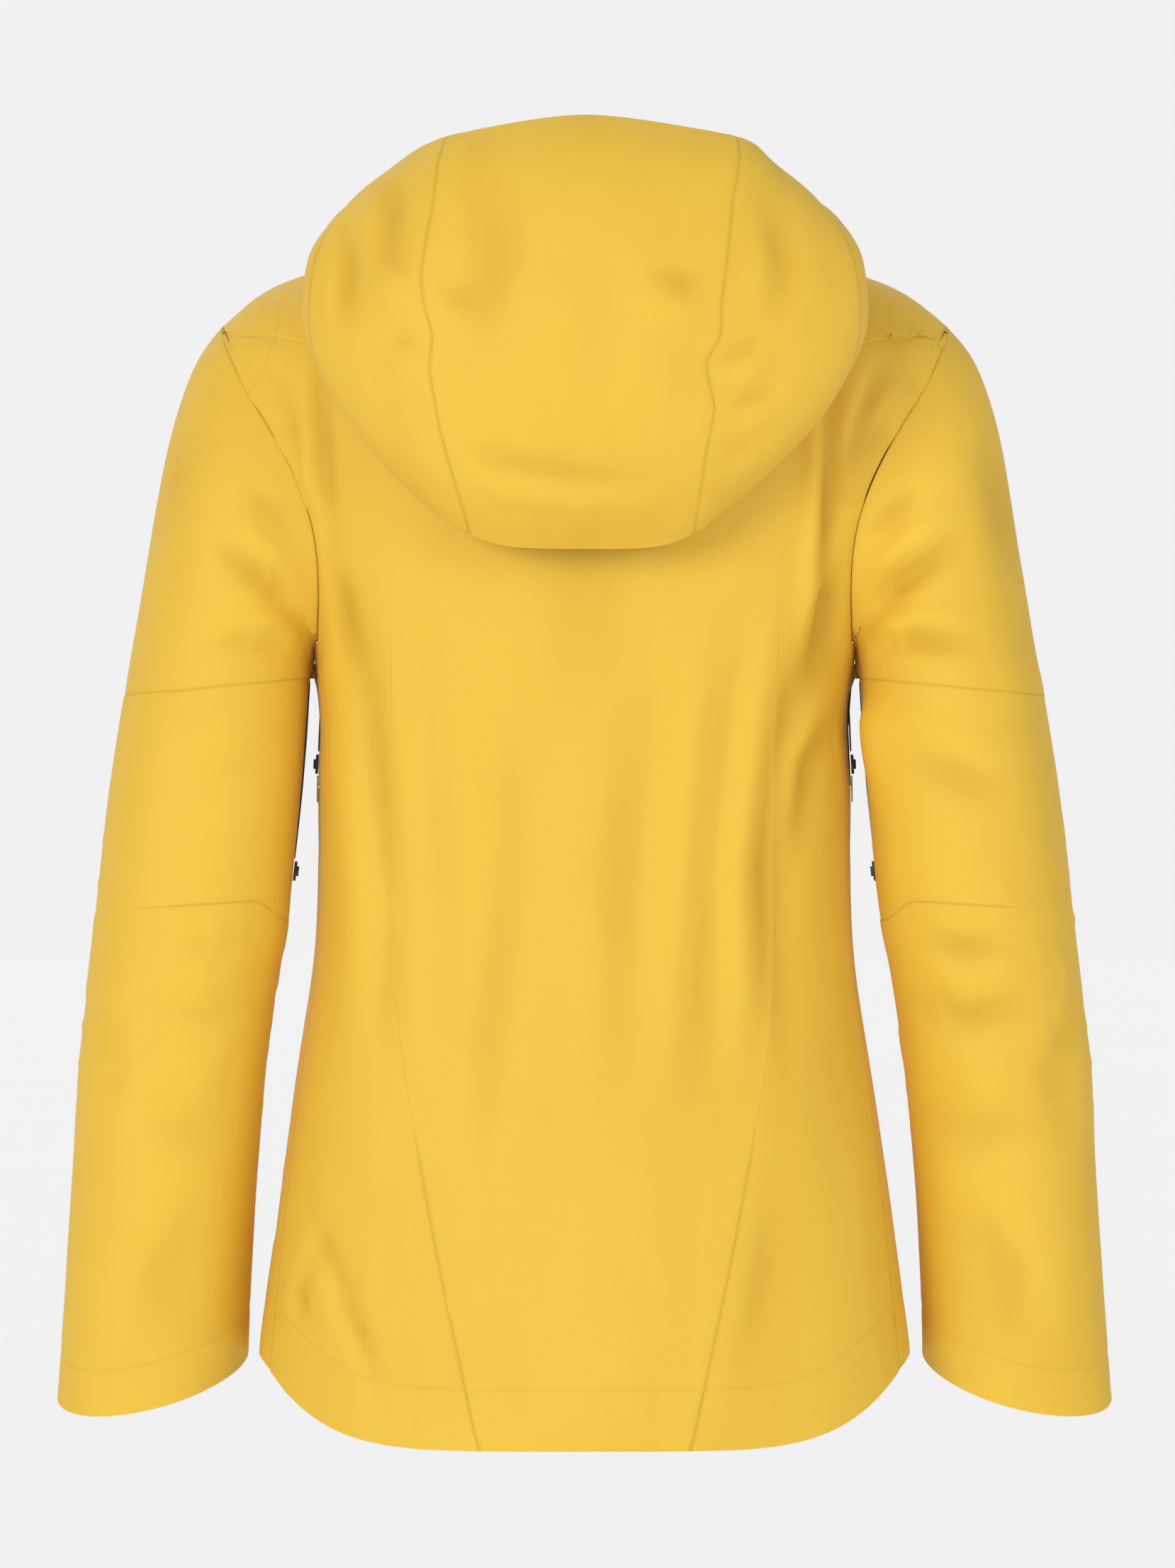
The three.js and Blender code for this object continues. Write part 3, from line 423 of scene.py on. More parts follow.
def sleeve_centre(p):
    """The middle of the sleeve at a point's height."""
    heights = [-0.72, -0.61, -0.46, -0.36, -0.21, -0.1]
    across = [0.263, 0.2535, 0.238, 0.231, 0.213, 0.2]
    behind = [-0.1, -0.084, -0.065, -0.064, -0.071, -0.074]
    x = float(np.interp(p.z, heights, across))
    return Vector((math.copysign(x, p.x), float(np.interp(p.z, heights, behind)), p.z))


SHEETS = {}  # each panel's sheet by name, with how it is sewn
# How a sheet is sewn, where its operator doesn't say otherwise.
PLAN = {
    "finish": "shell",
    "thickness": 1.3,  # millimetres
    "dip": 0.4 * MM,  # how deep a seam sinks
    "softness": 0.0,  # how much fainter its seams are, as a distance
    "hidden": None,  # a function of a point: 1 where a seam can't be seen
    "stitched": None,  # a stitch line's distance from the free edge
}


def cut_panel(node, centre, relief, body, **plan):
    """Cuts a panel's sheet from its CAD shell. It is folded and thickened when all are sewn."""
    name = node.replace("_panel", "").replace("_outer", "") + "_cloth"
    obj = copy_of(name, node)
    outer_sheet(obj, centre)
    subdivide(obj)
    sheet = {"obj": obj, "node": node, "centre": centre, "relief": relief, "body": body}
    SHEETS[name] = {**sheet, **PLAN, **plan}
    return obj


def edge_points(obj, count):
    """Points along a sheet's border, count to each edge: place, share of the way, and both ends' indices."""
    bm = bmesh.new()
    bm.from_mesh(obj.data)
    found = []
    for edge in bm.edges:
        if edge.is_boundary:
            a, b = edge.verts
            found += [(a.co.lerp(b.co, k / count), k / count, a.index, b.index) for k in range(count)]
    bm.free()
    return found


def edge_vertices(obj):
    """Indices of the vertices on a sheet's border."""
    ends = {index for _, _, a, b in edge_points(obj, 1) for index in (a, b)}
    return np.array(sorted(ends), dtype=np.int64)


def edge_samples(obj):
    """Closely spaced places along a sheet's border."""
    return [point[0] for point in edge_points(obj, 8)]


def tree_of(points):
    """A search tree of points."""
    tree = KDTree(len(points))
    for i, p in enumerate(points):
        tree.insert(p, i)
    tree.balance()
    return tree


def pull_together(first, second, share, reach, spread=0.0):
    """Moves two sheets' facing edges towards each other by a share, a function of a point or a number."""
    moves = []
    sheets = [SHEETS[first]["obj"], SHEETS[second]["obj"]]
    edges = [edge_vertices(obj) for obj in sheets]
    places = [points_of(obj.data) for obj in sheets]
    for i in (0, 1):
        tree = tree_of(edge_samples(sheets[1 - i]))
        shift = np.zeros_like(places[i])
        for index in edges[i]:
            here = places[i][index]
            there, _, distance = tree.find(here)
            if distance < reach:
                amount = share(here) if callable(share) else share
                shift[index] = (np.array(there) - here) * 0.5 * amount
        moves.append(shift)
    for obj, edge, where, shift in zip(sheets, edges, places, moves):
        if spread:
            moved = edge[np.abs(shift[edge]).sum(1) > 0]
            tree = tree_of(where[moved])
            full = shift.copy()
            for index, here in enumerate(where):
                _, near, distance = tree.find(here)
                if distance < spread:
                    full[index] = shift[moved[near]] * (1 - distance / spread) ** 2
            shift = full
        place(obj.data, where + shift)


FREE_EDGE = 0.12  # how strongly an edge that is sewn to nothing shows, where a seam is 1
SEAM_WIDTH = 2.5 * MM  # edges nearer than this are sewn together
SEAM_FADE = 20 * MM  # how far off a seam of no strength seems
SEAM_REACH = 3.2 * MM
FLAT_BESIDE_SEAM = (2 * MM, 28 * MM)  # folds start at the first distance and are whole at the second
# a fold this deep gets the whole painted shade or painted highlight
DEEP_FOLD = 4.5 * MM
STITCH_DIP = 0.35 * MM
STITCH_REACH = 2.4 * MM
NO_STITCHES = 9.0  # metres, further off than any edge
FAR = 1.0


def meets_another(name, neighbours, here):
    """Whether another sheet's edge runs beside this point of a sheet's edge."""
    tree, owners = neighbours
    return any(owners[i] != name for _, i, _ in tree.find_range(here, SEAM_WIDTH))


def seam_fields(name, neighbours):
    """Distances to a sheet's seams, longer where a seam is weak, and to its free edges."""
    sheet = SHEETS[name]
    obj = sheet["obj"]
    where = points_of(obj.data)
    hidden = sheet["hidden"]
    strength = np.full(len(where), FREE_EDGE)
    for index in edge_vertices(obj):
        here = where[index]
        if meets_another(name, neighbours, here):
            strength[index] = 1 - (hidden(here) if hidden else 0)
    samples, strengths, free = [], [], []
    for spot, share, a, b in edge_points(obj, 4):
        samples.append(spot)
        strengths.append(strength[a] * (1 - share) + strength[b] * share)
        if share == 0 and strength[a] == strength[b] == FREE_EDGE:
            free.append(spot)
    seam = np.full(len(where), FAR)
    for strong in (False, True):
        kind = [i for i, value in enumerate(strengths) if (value >= 0.5) == strong]
        if not kind:
            continue
        tree = tree_of([samples[i] for i in kind])
        for i, p in enumerate(where):
            _, near, distance = tree.find(p)
            weakness = (1 - strengths[kind[near]]) * SEAM_FADE
            seam[i] = min(seam[i], distance + weakness + sheet["softness"])
    hem = np.full(len(where), FAR)
    if free:
        tree = tree_of(free)
        hem = np.array([tree.find(p)[2] for p in where])
    return seam, hem


def sew_panels():
    """Folds each sheet, sinks its seams and gives it the cloth's thickness."""
    points, owners = [], []
    for name, sheet in SHEETS.items():
        samples = edge_samples(sheet["obj"])
        points += samples
        owners += [name] * len(samples)
    neighbours = (tree_of(points), owners)
    for name, sheet in SHEETS.items():
        obj = sheet["obj"]
        seam, hem = seam_fields(name, neighbours)
        where = points_of(obj.data)
        height = sheet["relief"](where) * ease(seam, *FLAT_BESIDE_SEAM)
        # Painted shading taken from the fold heights: painted shade in the furrows (below 0) and a painted
        # highlight on the lips (above 0), whole at DEEP_FOLD.
        painted_fold_shading = np.clip(height / DEEP_FOLD, -1, 1)
        height -= sheet["dip"] * bump(seam, 0, SEAM_REACH)
        stitched = sheet["stitched"]
        if stitched:
            height -= STITCH_DIP * bump(hem, stitched, STITCH_REACH)
        place(obj.data, where + normals_of(obj.data) * height[:, None])
        save_attribute(obj, "seam_distance", seam)
        save_attribute(obj, "hem_distance", hem - (stitched or NO_STITCHES))
        save_attribute(obj, "painted_fold_shading", painted_fold_shading)
        flat_map(obj, sheet["centre"])
        modify(obj, "SOLIDIFY", thickness=sheet["thickness"] * MM, offset=-1, use_rim=True)
        smooth(obj)
        dress(obj, sheet["finish"])
        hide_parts(sheet["node"])
        "lining_fabric" if sheet["finish"] == "lining" else "shell_fabric"
        if isinstance(sheet["body"], str):
            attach(obj, sheet["body"])
        else:
            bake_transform(obj)


MAP_ROWS = 24  # heights at which the middle is found


def flat_map(obj, centre):
    """A UV map in metres: round the body across, and up it."""
    mesh = obj.data
    points = points_of(mesh)
    heights = np.linspace(points[:, 2].min(), points[:, 2].max() + 1e-6, MAP_ROWS)
    side = math.copysign(0.2, points[:, 0].mean())
    middles = [centre(Vector((side, 0, z))) for z in heights]
    across = points[:, 0] - np.interp(points[:, 2], heights, [m.x for m in middles])
    behind = points[:, 1] - np.interp(points[:, 2], heights, [m.y for m in middles])
    angle = np.arctan2(across, behind)
    radius = np.hypot(across, behind).mean()
    layer = mesh.uv_layers.new(name="cloth")
    corners = np.empty(len(mesh.loops), dtype=np.int64)
    mesh.loops.foreach_get("vertex_index", corners)
    values = np.stack([angle[corners] * radius, points[corners, 2]], axis=1)
    layer.data.foreach_set("uv", values.ravel())


def always(p):
    """1 at every point."""
    return 1.0


def off_the_dart(p):
    """1 where the elbow's cloth runs on unbroken, 0 along the dart across the inner part of its back."""
    on_back = ease(np.array(p[1]), -0.09, -0.07)
    inner = 1 - ease(np.array(abs(p[0])), 0.252, 0.268)
    return float(1 - on_back * inner * (p[2] > -0.47))


def round_the_arm(p):
    """Nearly 1 along the armhole, 0 at its foot, where the sleeve's first cross seam is close."""
    return 0.98 * float(ease(np.array(p[2]), -0.272, -0.252))


def dart_share(p):
    """How far the edges at the elbow close: all the way where the cloth runs on, less along the dart."""
    return max(0.85, off_the_dart(p))


def slant_dart(obj):
    """Lowers the dart's inner end, where it turns down to the sleeve's inner edge."""
    where = points_of(obj.data)
    inner = 1 - ease(np.abs(where[:, 0]), 0.180, 0.200)
    near = bump(where[:, 2], -0.42, 0.03)
    where[:, 2] -= 0.013 * inner * near * ease(where[:, 1], -0.09, -0.06)
    place(obj.data, where)


def above_the_waist(p):
    """1 on the back above the waist, where its pressed seams don't show, and 0 well below it."""
    return float(ease(np.array(p[2]), -0.58, -0.44)) * float(p[1] > 0)


def back_share(p):
    """How far the seams beside the back's centre panel close: all the way, but for below the waist."""
    return max(0.8, above_the_waist(p))


def on_shoulder(p):
    """1 along the top of the shoulder, 0 at the armhole and below."""
    return float(p[2] > -0.12) * float(1 - ease(np.array(abs(p[0])), 0.196, 0.212))


def above_and_on_shoulder(p):
    """How hidden a back panel's seams are."""
    return max(above_the_waist(p), 0.75 * on_shoulder(p))


# ---- materials ----


class Socket:
    """A value in a material: arithmetic on it adds the Math nodes."""

    def __init__(self, material, socket):
        self.material, self.socket = material, socket

    def _math(self, operation, *values):
        return self.material.node("ShaderNodeMath", {"operation": operation}, dict(enumerate(values)))

    def __add__(self, other):
        return self._math("ADD", self, other)

    def __sub__(self, other):
        return self._math("SUBTRACT", self, other)

    def __rsub__(self, other):
        return self._math("SUBTRACT", other, self)

    def __mul__(self, other):
        return self._math("MULTIPLY", self, other)

    __radd__, __rmul__ = __add__, __mul__

    def sine(self):
        return self._math("SINE", self)

    def absolute(self):
        return self._math("ABSOLUTE", self)

    def within(self, low, high):
        """0 at low and 1 at high, clipped."""
        inputs = {0: self, 1: low, 2: high, 3: 0.0, 4: 1.0}
        return self.material.node("ShaderNodeMapRange", {"clamp": True}, inputs)


def socket_name(key):
    """A shader socket's name from a keyword's."""
    return key.replace("_", " ").title().replace("Ior", "IOR")


class Finish:
    """A material round one Principled shader."""

    def __init__(self, name, **constants):
        self.made = bpy.data.materials.new(name)
        self.made.use_nodes = True
        self.tree = self.made.node_tree
        self.shader = self.tree.nodes["Principled BSDF"]
        for key, value in constants.items():
            self.shader.inputs[socket_name(key)].default_value = value

    def node(self, kind, settings, inputs, output=0):
        """Adds a node, sets it, and fills its sockets with values or links."""
        node = self.tree.nodes.new(kind)
        for key, value in settings.items():
            setattr(node, key, value)
        for key, value in inputs.items():
            if isinstance(value, Socket):
                self.tree.links.new(value.socket, node.inputs[key])
            else:
                node.inputs[key].default_value = value
        return Socket(self, node.outputs[output])

    def feed(self, **links):
        """Links values to the shader's sockets and gives the finished material."""
        for key, value in links.items():
            self.tree.links.new(value.socket, self.shader.inputs[socket_name(key)])
        return self.made

    def coordinates(self):
        """Places on the object, in metres."""
        return self.node("ShaderNodeTexCoord", {}, {}, "Object")

    def axes(self, vector):
        """A vector's three parts, each a value."""
        first = self.node("ShaderNodeSeparateXYZ", {}, {0: vector}, 0)
        return [Socket(self, output) for output in first.socket.node.outputs]

    def attribute(self, name):
        """A number that the mesh keeps for each vertex."""
        return self.node("ShaderNodeAttribute", {"attribute_name": name}, {}, "Fac")

    def noise(self, vector, scale, detail=3.0, roughness=0.55):
        """Cloudy values round 0.5."""
        inputs = {"Vector": vector, "Scale": scale, "Detail": detail, "Roughness": roughness}
        return self.node("ShaderNodeTexNoise", {"noise_dimensions": "3D"}, inputs, "Fac")

    def stretched(self, vector, scale):
        """The vector scaled along each axis."""
        return self.node("ShaderNodeMapping", {}, {"Vector": vector, "Scale": scale})

    def mix(self, factor, first, second):
        """A colour between two."""
        return self.node("ShaderNodeMix", {"data_type": "RGBA"}, {0: factor, 6: first, 7: second}, 2)

    def raised(self, height, strength, distance, under=None):
        """A bumped normal, on top of another one."""
        inputs = {"Strength": strength, "Distance": distance, "Height": height}
        if under is not None:
            inputs["Normal"] = under
        return self.node("ShaderNodeBump", {}, inputs)


def toned(colour, share=1.0):
    """A colour made brighter or darker by a share, with its alpha."""
    return tuple(min(1, part * share) for part in colour[:3]) + (1,)


def cloth_finish(name, colour, shade, roughness, weave_mm, weave_depth, seams=True):
    """Laminated face fabric: a fine plain weave, slight creasing and uneven dye, with painted shade in its
    seams' grooves and its folds' furrows and a painted highlight on the folds' lips.
    """
    finish = Finish(name, sheen_weight=0.05, sheen_roughness=0.4, specular_ior_level=0.22)
    place_on = finish.coordinates()
    across, up, _ = finish.axes(finish.node("ShaderNodeUVMap", {"uv_map": "cloth"}, {}))
    pitch = 2 * math.pi / (weave_mm * MM)
    weave = (across * pitch).sine() * (up * pitch).sine()
    cloud = finish.noise(place_on, 9.0, 3.0)
    streak = finish.noise(finish.stretched(place_on, (34.0, 34.0, 6.0)), 1.0, 4.0)
    fine = finish.noise(place_on, 160.0, 4.0, 0.6)
    tone = (cloud - 0.5) * 0.55 + (streak - 0.5) * 0.35 + (fine - 0.5) * 0.18 + 0.5
    base = finish.mix(tone.within(0.2, 0.8), shade, colour)
    rough = roughness + (cloud - 0.5) * 0.12 + (fine - 0.5) * 0.08
    creases = finish.noise(finish.stretched(place_on, (1.0, 1.0, 0.55)), 42.0, 5.0, 0.5)
    relief = finish.raised(creases, 0.22, 0.0016)
    if seams:
        distance = finish.attribute("seam_distance")
        near = 1 - distance.within(0.0, 0.0022)
        stitched = 1 - finish.attribute("hem_distance").absolute().within(0.0, 0.0016)
        painted_fold_shading = finish.attribute("painted_fold_shading")
        # Painted shade in the folds' furrows, mixed towards this darker colour.
        deep = (shade[0] * 0.72, shade[1] * 0.62, shade[2] * 0.4, 1)
        base = finish.mix((painted_fold_shading * -1).within(0.05, 1.0) * 0.55, base, deep)
        # A painted highlight on the folds' raised lips.
        base = finish.mix(painted_fold_shading.within(0.1, 1.0) * 0.25, base, toned(colour, 1.12))
        # Painted shade in the seams' grooves and along the stitch line's groove.
        base = finish.mix(near * 0.34 + stitched * 0.14, base, toned(shade, 0.6))
        pucker = finish.noise(place_on, 210.0, 2.0) * (1 - distance.within(0.001, 0.009))
        relief = finish.raised(pucker, 0.35, 0.0009, relief)
        rough = rough + near * 0.06
    relief = finish.raised(weave, 0.35, weave_depth * MM, relief)
    return finish.feed(base_color=base, roughness=rough, normal=relief)


RIB_PITCH = 0.9 * MM


def webbing_finish(name, colour, shade):
    """Ribbed tape: ribs across it and a slight fade."""
    finish = Finish(name, sheen_weight=0.15, sheen_roughness=0.5)
    place_on = finish.coordinates()
    _, _, up = finish.axes(place_on)
    ribs = (up * (2 * math.pi / RIB_PITCH)).sine()
    fleck = finish.noise(place_on, 700.0, 2.0)
    base = finish.mix((ribs * 0.25 + fleck).within(0.1, 0.9), shade, colour)
    relief = finish.raised(ribs, 0.5, 0.0002)
    return finish.feed(base_color=base, roughness=fleck * 0.2 + 0.6, normal=relief)


def slider_finish(name, colour):
    """Dark enamel with a moulded grain, worn brighter and smoother in places."""
    finish = Finish(name)
    place_on = finish.coordinates()
    grain = finish.noise(place_on, 1400.0, 3.0)
    wear = finish.noise(place_on, 260.0, 4.0).within(0.56, 0.7)
    bright = [c * 2.6 + 0.02 for c in colour[:3]] + [1]
    return finish.feed(
        base_color=finish.mix(wear * 0.6, colour, bright),
        roughness=0.42 - wear * 0.14 + (grain - 0.5) * 0.12,
        normal=finish.raised(grain, 0.3, 0.0001),
    )


HOLE_PITCH = 1.1 * MM


def mesh_finish(name, colour, light):
    """Knitted mesh: rows of small round holes."""
    finish = Finish(name, sheen_weight=0.1)
    place_on = finish.coordinates()
    across, _, up = finish.axes(place_on)
    pitch = math.pi / HOLE_PITCH
    holes = ((across * pitch).sine() * (up * pitch).sine()).absolute()
    tufts = finish.noise(place_on, 900.0, 2.0)
    return finish.feed(
        base_color=finish.mix((holes * 0.8 + tufts * 0.3).within(0.15, 0.9), colour, light),
        roughness=0.8 + tufts * 0.15,
        normal=finish.raised(holes, 0.6, 0.0003),
    )


WHITE = (1, 1, 1, 1)
FLOOR_GLOW = 0.637  # lifts the lit floor to the backdrop's brightness


def floor_finish(name, colour):
    """Painted studio floor with a barely seen mottle."""
    glow = {"emission_color": WHITE, "emission_strength": FLOOR_GLOW}
    finish = Finish(name, specular_ior_level=0.1, **glow)
    cloud = finish.noise(finish.coordinates(), 0.7, 3.0)
    base = finish.mix(cloud, colour, toned(colour, 0.985))
    return finish.feed(base_color=base, roughness=cloud * 0.05 + 0.9)


def shell_cloth(name, look, rougher=0.0, seams=True):
    """The jacket's face fabric."""
    colours = toned(look.shell_colour), toned(look.shell_shade)
    return cloth_finish(name, *colours, look.roughness + rougher, 0.7, 0.12, seams)


def tape_cloth(name, colour, share):
    """Webbing whose shade is a share of its colour."""
    return webbing_finish(name, colour, toned(colour, share))


DARK_TAPE = (0.035, 0.028, 0.02, 1)
DARK_TAPE_SHADE = (0.018, 0.014, 0.011, 1)
DARK_TEETH = (0.02, 0.016, 0.012, 1)
MESH_HOLES = (0.012, 0.011, 0.01, 1)
MESH_THREAD = (0.05, 0.046, 0.04, 1)
FINISHES = {
    "shell": lambda look: shell_cloth("shell_fabric", look),
    "patch": lambda look: shell_cloth("bonded_fabric", look, 0.05, False),
    "lining": lambda look: cloth_finish(
        "lining_fabric", toned(look.lining_colour), toned(look.lining_colour, 0.86), 0.78, 1.1, 0.2
    ),
    "tape": lambda look: tape_cloth("zip_tape", toned(look.tape_colour), 0.7),
    "webbing": lambda look: tape_cloth("loop_webbing", toned(look.shell_colour, 0.9), 0.75),
    "dark_tape": lambda look: webbing_finish("dark_zip_tape", DARK_TAPE, DARK_TAPE_SHADE),
    "teeth": lambda look: slider_finish("zip_teeth", toned(look.tape_colour, 0.8)),
    "dark_teeth": lambda look: slider_finish("dark_zip_teeth", DARK_TEETH),
    "slider": lambda look: slider_finish("zip_slider", toned(look.slider_colour)),
    "mesh": lambda look: mesh_finish("pocket_mesh", MESH_HOLES, MESH_THREAD),
    "floor": lambda look: floor_finish("studio_floor", toned(bpy.context.scene.jacket_stage.floor_colour)),
}
MADE = {}  # the materials made so far


def finish_for(kind):
    """One of the jacket's materials, made once."""
    if kind not in MADE:
        MADE[kind] = FINISHES[kind](bpy.context.scene.jacket_look)
    return MADE[kind]


def dress(obj, kind):
    """Gives an object one material."""
    obj.data.materials.clear()
    obj.data.materials.append(finish_for(kind))


# ---- zips, sliders and trims ----


ROUNDED_EDGE = math.radians(32)  # an edge that turns more than this is rounded


def trim(node, body, kind, bevel):
    """Makes a small piece from its CAD shape, its edges rounded by a bevel in millimetres."""
    obj = copy_of(node + "_trim", node)
    corners = {"limit_method": "ANGLE", "angle_limit": ROUNDED_EDGE, "harden_normals": False}
    modify(obj, "BEVEL", width=bevel * MM, segments=3, **corners)
    smooth(obj, 50)
    dress(obj, kind)
    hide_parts(node)
    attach(obj, body)
    return obj


COIL_PITCH = 1.6 * MM
COIL_STARTS = {1: 0.25, -1: 0.75}  # where each row's first loop lies, in pitches
COIL_OVERLAP = 0.25 * MM  # how far a loop reaches past the zip's middle
# A loop's rings from the zip's middle outward: the share of its length, and its radius in millimetres.
LOOP_RINGS = ((0, 0.28), (0.18, 0.62), (0.5, 0.56), (1, 0.5))
LOOP_CORNERS = 6


def step_along(path, run):
    """The point at a distance along a path, and the way the path goes there."""
    spans = [(b - a).length for a, b in zip(path, path[1:])]
    i = 0
    while run > spans[i] and i < len(spans) - 1:
        run -= spans[i]
        i += 1
    up = (path[i + 1] - path[i]).normalized()
    return path[i] + up * run, up


def add_loop(bm, start, end, up, out):
    """Adds one coil loop, a closed bar from start to end."""
    rings = []
    for share, radius in LOOP_RINGS:
        middle = start.lerp(end, share)
        ring = []
        for corner in range(LOOP_CORNERS):
            turn = corner * math.pi * 2 / LOOP_CORNERS
            offset = (up * math.cos(turn) + out * math.sin(turn)) * radius * MM
            ring.append(bm.verts.new(middle + offset))
        rings.append(ring)
    for low, high in zip(rings, rings[1:]):
        for i in range(LOOP_CORNERS):
            bm.faces.new((low[i], low[i - 1], high[i - 1], high[i]))
    bm.faces.new(rings[0])
    bm.faces.new(reversed(rings[-1]))


def teeth(name, path, outward, width, body, kind="teeth"):
    """Two facing rows of coil loops along a path, each loop a short rounded bar across the zip."""
    bm = bmesh.new()
    length = sum((b - a).length for a, b in zip(path, path[1:]))
    for k in range(int(length / COIL_PITCH)):
        for row, first in COIL_STARTS.items():
            at, up = step_along(path, (k + first) * COIL_PITCH)
            across = up.cross(outward).normalized()
            out = across.cross(up).normalized()
            add_loop(bm, at - across * row * COIL_OVERLAP, at + across * row * width * MM, up, out)
    bmesh.ops.recalc_face_normals(bm, faces=bm.faces)
    mesh = bpy.data.meshes.new(name)
    bm.to_mesh(mesh)
    bm.free()
    obj = bpy.data.objects.new(name, mesh)
    bpy.context.collection.objects.link(obj)
    smooth(obj, 60)
    dress(obj, kind)
    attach(obj, body)


# ---- settings ----


def colour_setting(name, description, default):
    """A colour that a user can change."""
    limits = {"size": 3, "min": 0, "max": 1, "subtype": "COLOR"}
    return bpy.props.FloatVectorProperty(name=name, description=description, default=default, **limits)


class JacketLook(PropertyGroup):
    """The jacket's colours and finish"""

    shell_colour: colour_setting("Shell", "Face fabric's colour", (0.82, 0.527, 0.056))
    shell_shade: colour_setting("Shell shade", "Face fabric's darker tone", (0.76, 0.468, 0.043))
    lining_colour: colour_setting("Lining", "Backer fabric's colour", (0.62, 0.6, 0.56))
    tape_colour: colour_setting("Tape", "Zip tapes' and webbing's colour", (0.62, 0.34, 0.04))
    slider_colour: colour_setting("Slider", "Zip sliders' colour", (0.02, 0.016, 0.014))
    roughness: bpy.props.FloatProperty(
        name="Roughness", description="Face fabric's roughness", default=0.58, min=0, max=1
    )


class JacketStage(PropertyGroup):
    """The studio's floor, camera and lights"""

    floor_colour: colour_setting("Floor", "Studio floor's colour", (0.3, 0.3, 0.3))
    lens: bpy.props.FloatProperty(
        name="Lens", description="Camera's focal length in millimetres", default=400, min=20, max=800
    )
    view_height: bpy.props.FloatProperty(
        name="View height", description="Height that the camera takes in", default=0.9512, unit="LENGTH"
    )
    key: bpy.props.FloatProperty(name="Key", description="Main light's strength", default=1.55, min=0)
    fill: bpy.props.FloatProperty(name="Fill", description="Room light's strength", default=0.5, min=0)
    backdrop: bpy.props.FloatProperty(
        name="Backdrop", description="Brightness of the backdrop that the camera sees", default=0.88, min=0
    )


# ---- operators ----

HEM_STITCHES = 0.037
CUFF_STITCHES = 0.028


class JACKET_OT_body(Operator):
    """Cuts the back, side and front panels"""

    bl_idname = "jacket.body"
    bl_label = "Body panels"

    def execute(self, context):
        names = ["back_centre_panel"]
        for side, _ in SIDES:
            names += [side + n for n in ("_back_side_panel", "_side_panel", "_front_panel")]
        for node in names:
            hidden = above_and_on_shoulder if "back" in node else on_shoulder
            cut_panel(node, body_centre, body_relief, "torso", hidden=hidden, stitched=HEM_STITCHES)
        for side, _ in SIDES:
            pull_together("back_centre_cloth", side + "_back_side_cloth", back_share, 0.002)
            pull_together(side + "_back_side_cloth", side + "_side_cloth", 0.8, 0.002)
            pull_together(side + "_front_cloth", side + "_side_cloth", 0.8, 0.002)
            pull_together(side + "_back_side_cloth", side + "_front_cloth", on_shoulder, 0.009, 0.012)
        return {"FINISHED"}


class JACKET_OT_sleeves(Operator):
    """Cuts the sleeves in their sewn lengths"""

    bl_idname = "jacket.sleeves"
    bl_label = "Sleeves"

    def execute(self, context):
        for side, sign in SIDES:
            arm = side + "_arm"
            shoulder = ("torso", arm, (0.2219 * sign, -0.07, -0.0643), (0.2728 * sign, -0.07, -0.0790))
            elbow = (arm, side + "_forearm", (0.24 * sign, -0.066, -0.425), (0.24 * sign, -0.066, -0.52))
            lengths = (
                ("shoulder", shoulder, {}),
                ("upper", shoulder, {"hidden": off_the_dart}),
                ("elbow", elbow, {"hidden": off_the_dart}),
                ("forearm", elbow, {"hidden": always, "stitched": CUFF_STITCHES}),
            )
            for part, bodies, plan in lengths:
                plan.update(dip=0.25 * MM, softness=0.4 * MM)
                cut_panel(f"{side}_{part}_sleeve", sleeve_centre, sleeve_relief, bodies, **plan)
            for part in ("upper", "elbow"):
                slant_dart(SHEETS[f"{side}_{part}_sleeve_cloth"]["obj"])
            pull_together(f"{side}_shoulder_sleeve_cloth", f"{side}_upper_sleeve_cloth", 0.85, 0.004)
            pull_together(f"{side}_upper_sleeve_cloth", f"{side}_elbow_sleeve_cloth", dart_share, 0.004)
            pull_together(f"{side}_elbow_sleeve_cloth", f"{side}_forearm_sleeve_cloth", 1.0, 0.004)
            for part in ("back_side", "front"):
                names = f"{side}_{part}_cloth", f"{side}_shoulder_sleeve_cloth"
                pull_together(*names, round_the_arm, 0.02, 0.026)
                pull_together(*names, 0.98, 0.006, 0.012)
        return {"FINISHED"}


# How far the hood's seams wander sideways, by height: rows of z and x in millimetres.
SEAM_WANDER = {
    1: [(60, 5), (0, 3), (-45, 8), (-62, 6.5), (-80, 2.5), (-100, 7), (-137, 6), (-190, 0), (-240, 0)],
    -1: [(60, -15), (38, -13), (0, -1), (-30, 4), (-60, 8), (-82, 7), (-97, 14.5), (-124, 5)]
    + [(-152, 6.5), (-240, 4)],
}


def wander(obj):
    """Lets the hood's two long seams wander, with the cloth beside them."""
    where = points_of(obj.data)
    behind = ease(where[:, 1], 0.03, 0.09)
    for side, rows in SEAM_WANDER.items():
        rows = sorted(rows)
        shift = np.interp(where[:, 2], [r[0] * MM for r in rows], [r[1] * MM for r in rows])
        where[:, 0] += shift * behind * bump(where[:, 0], side * 0.088, 0.034)
    place(obj.data, where)


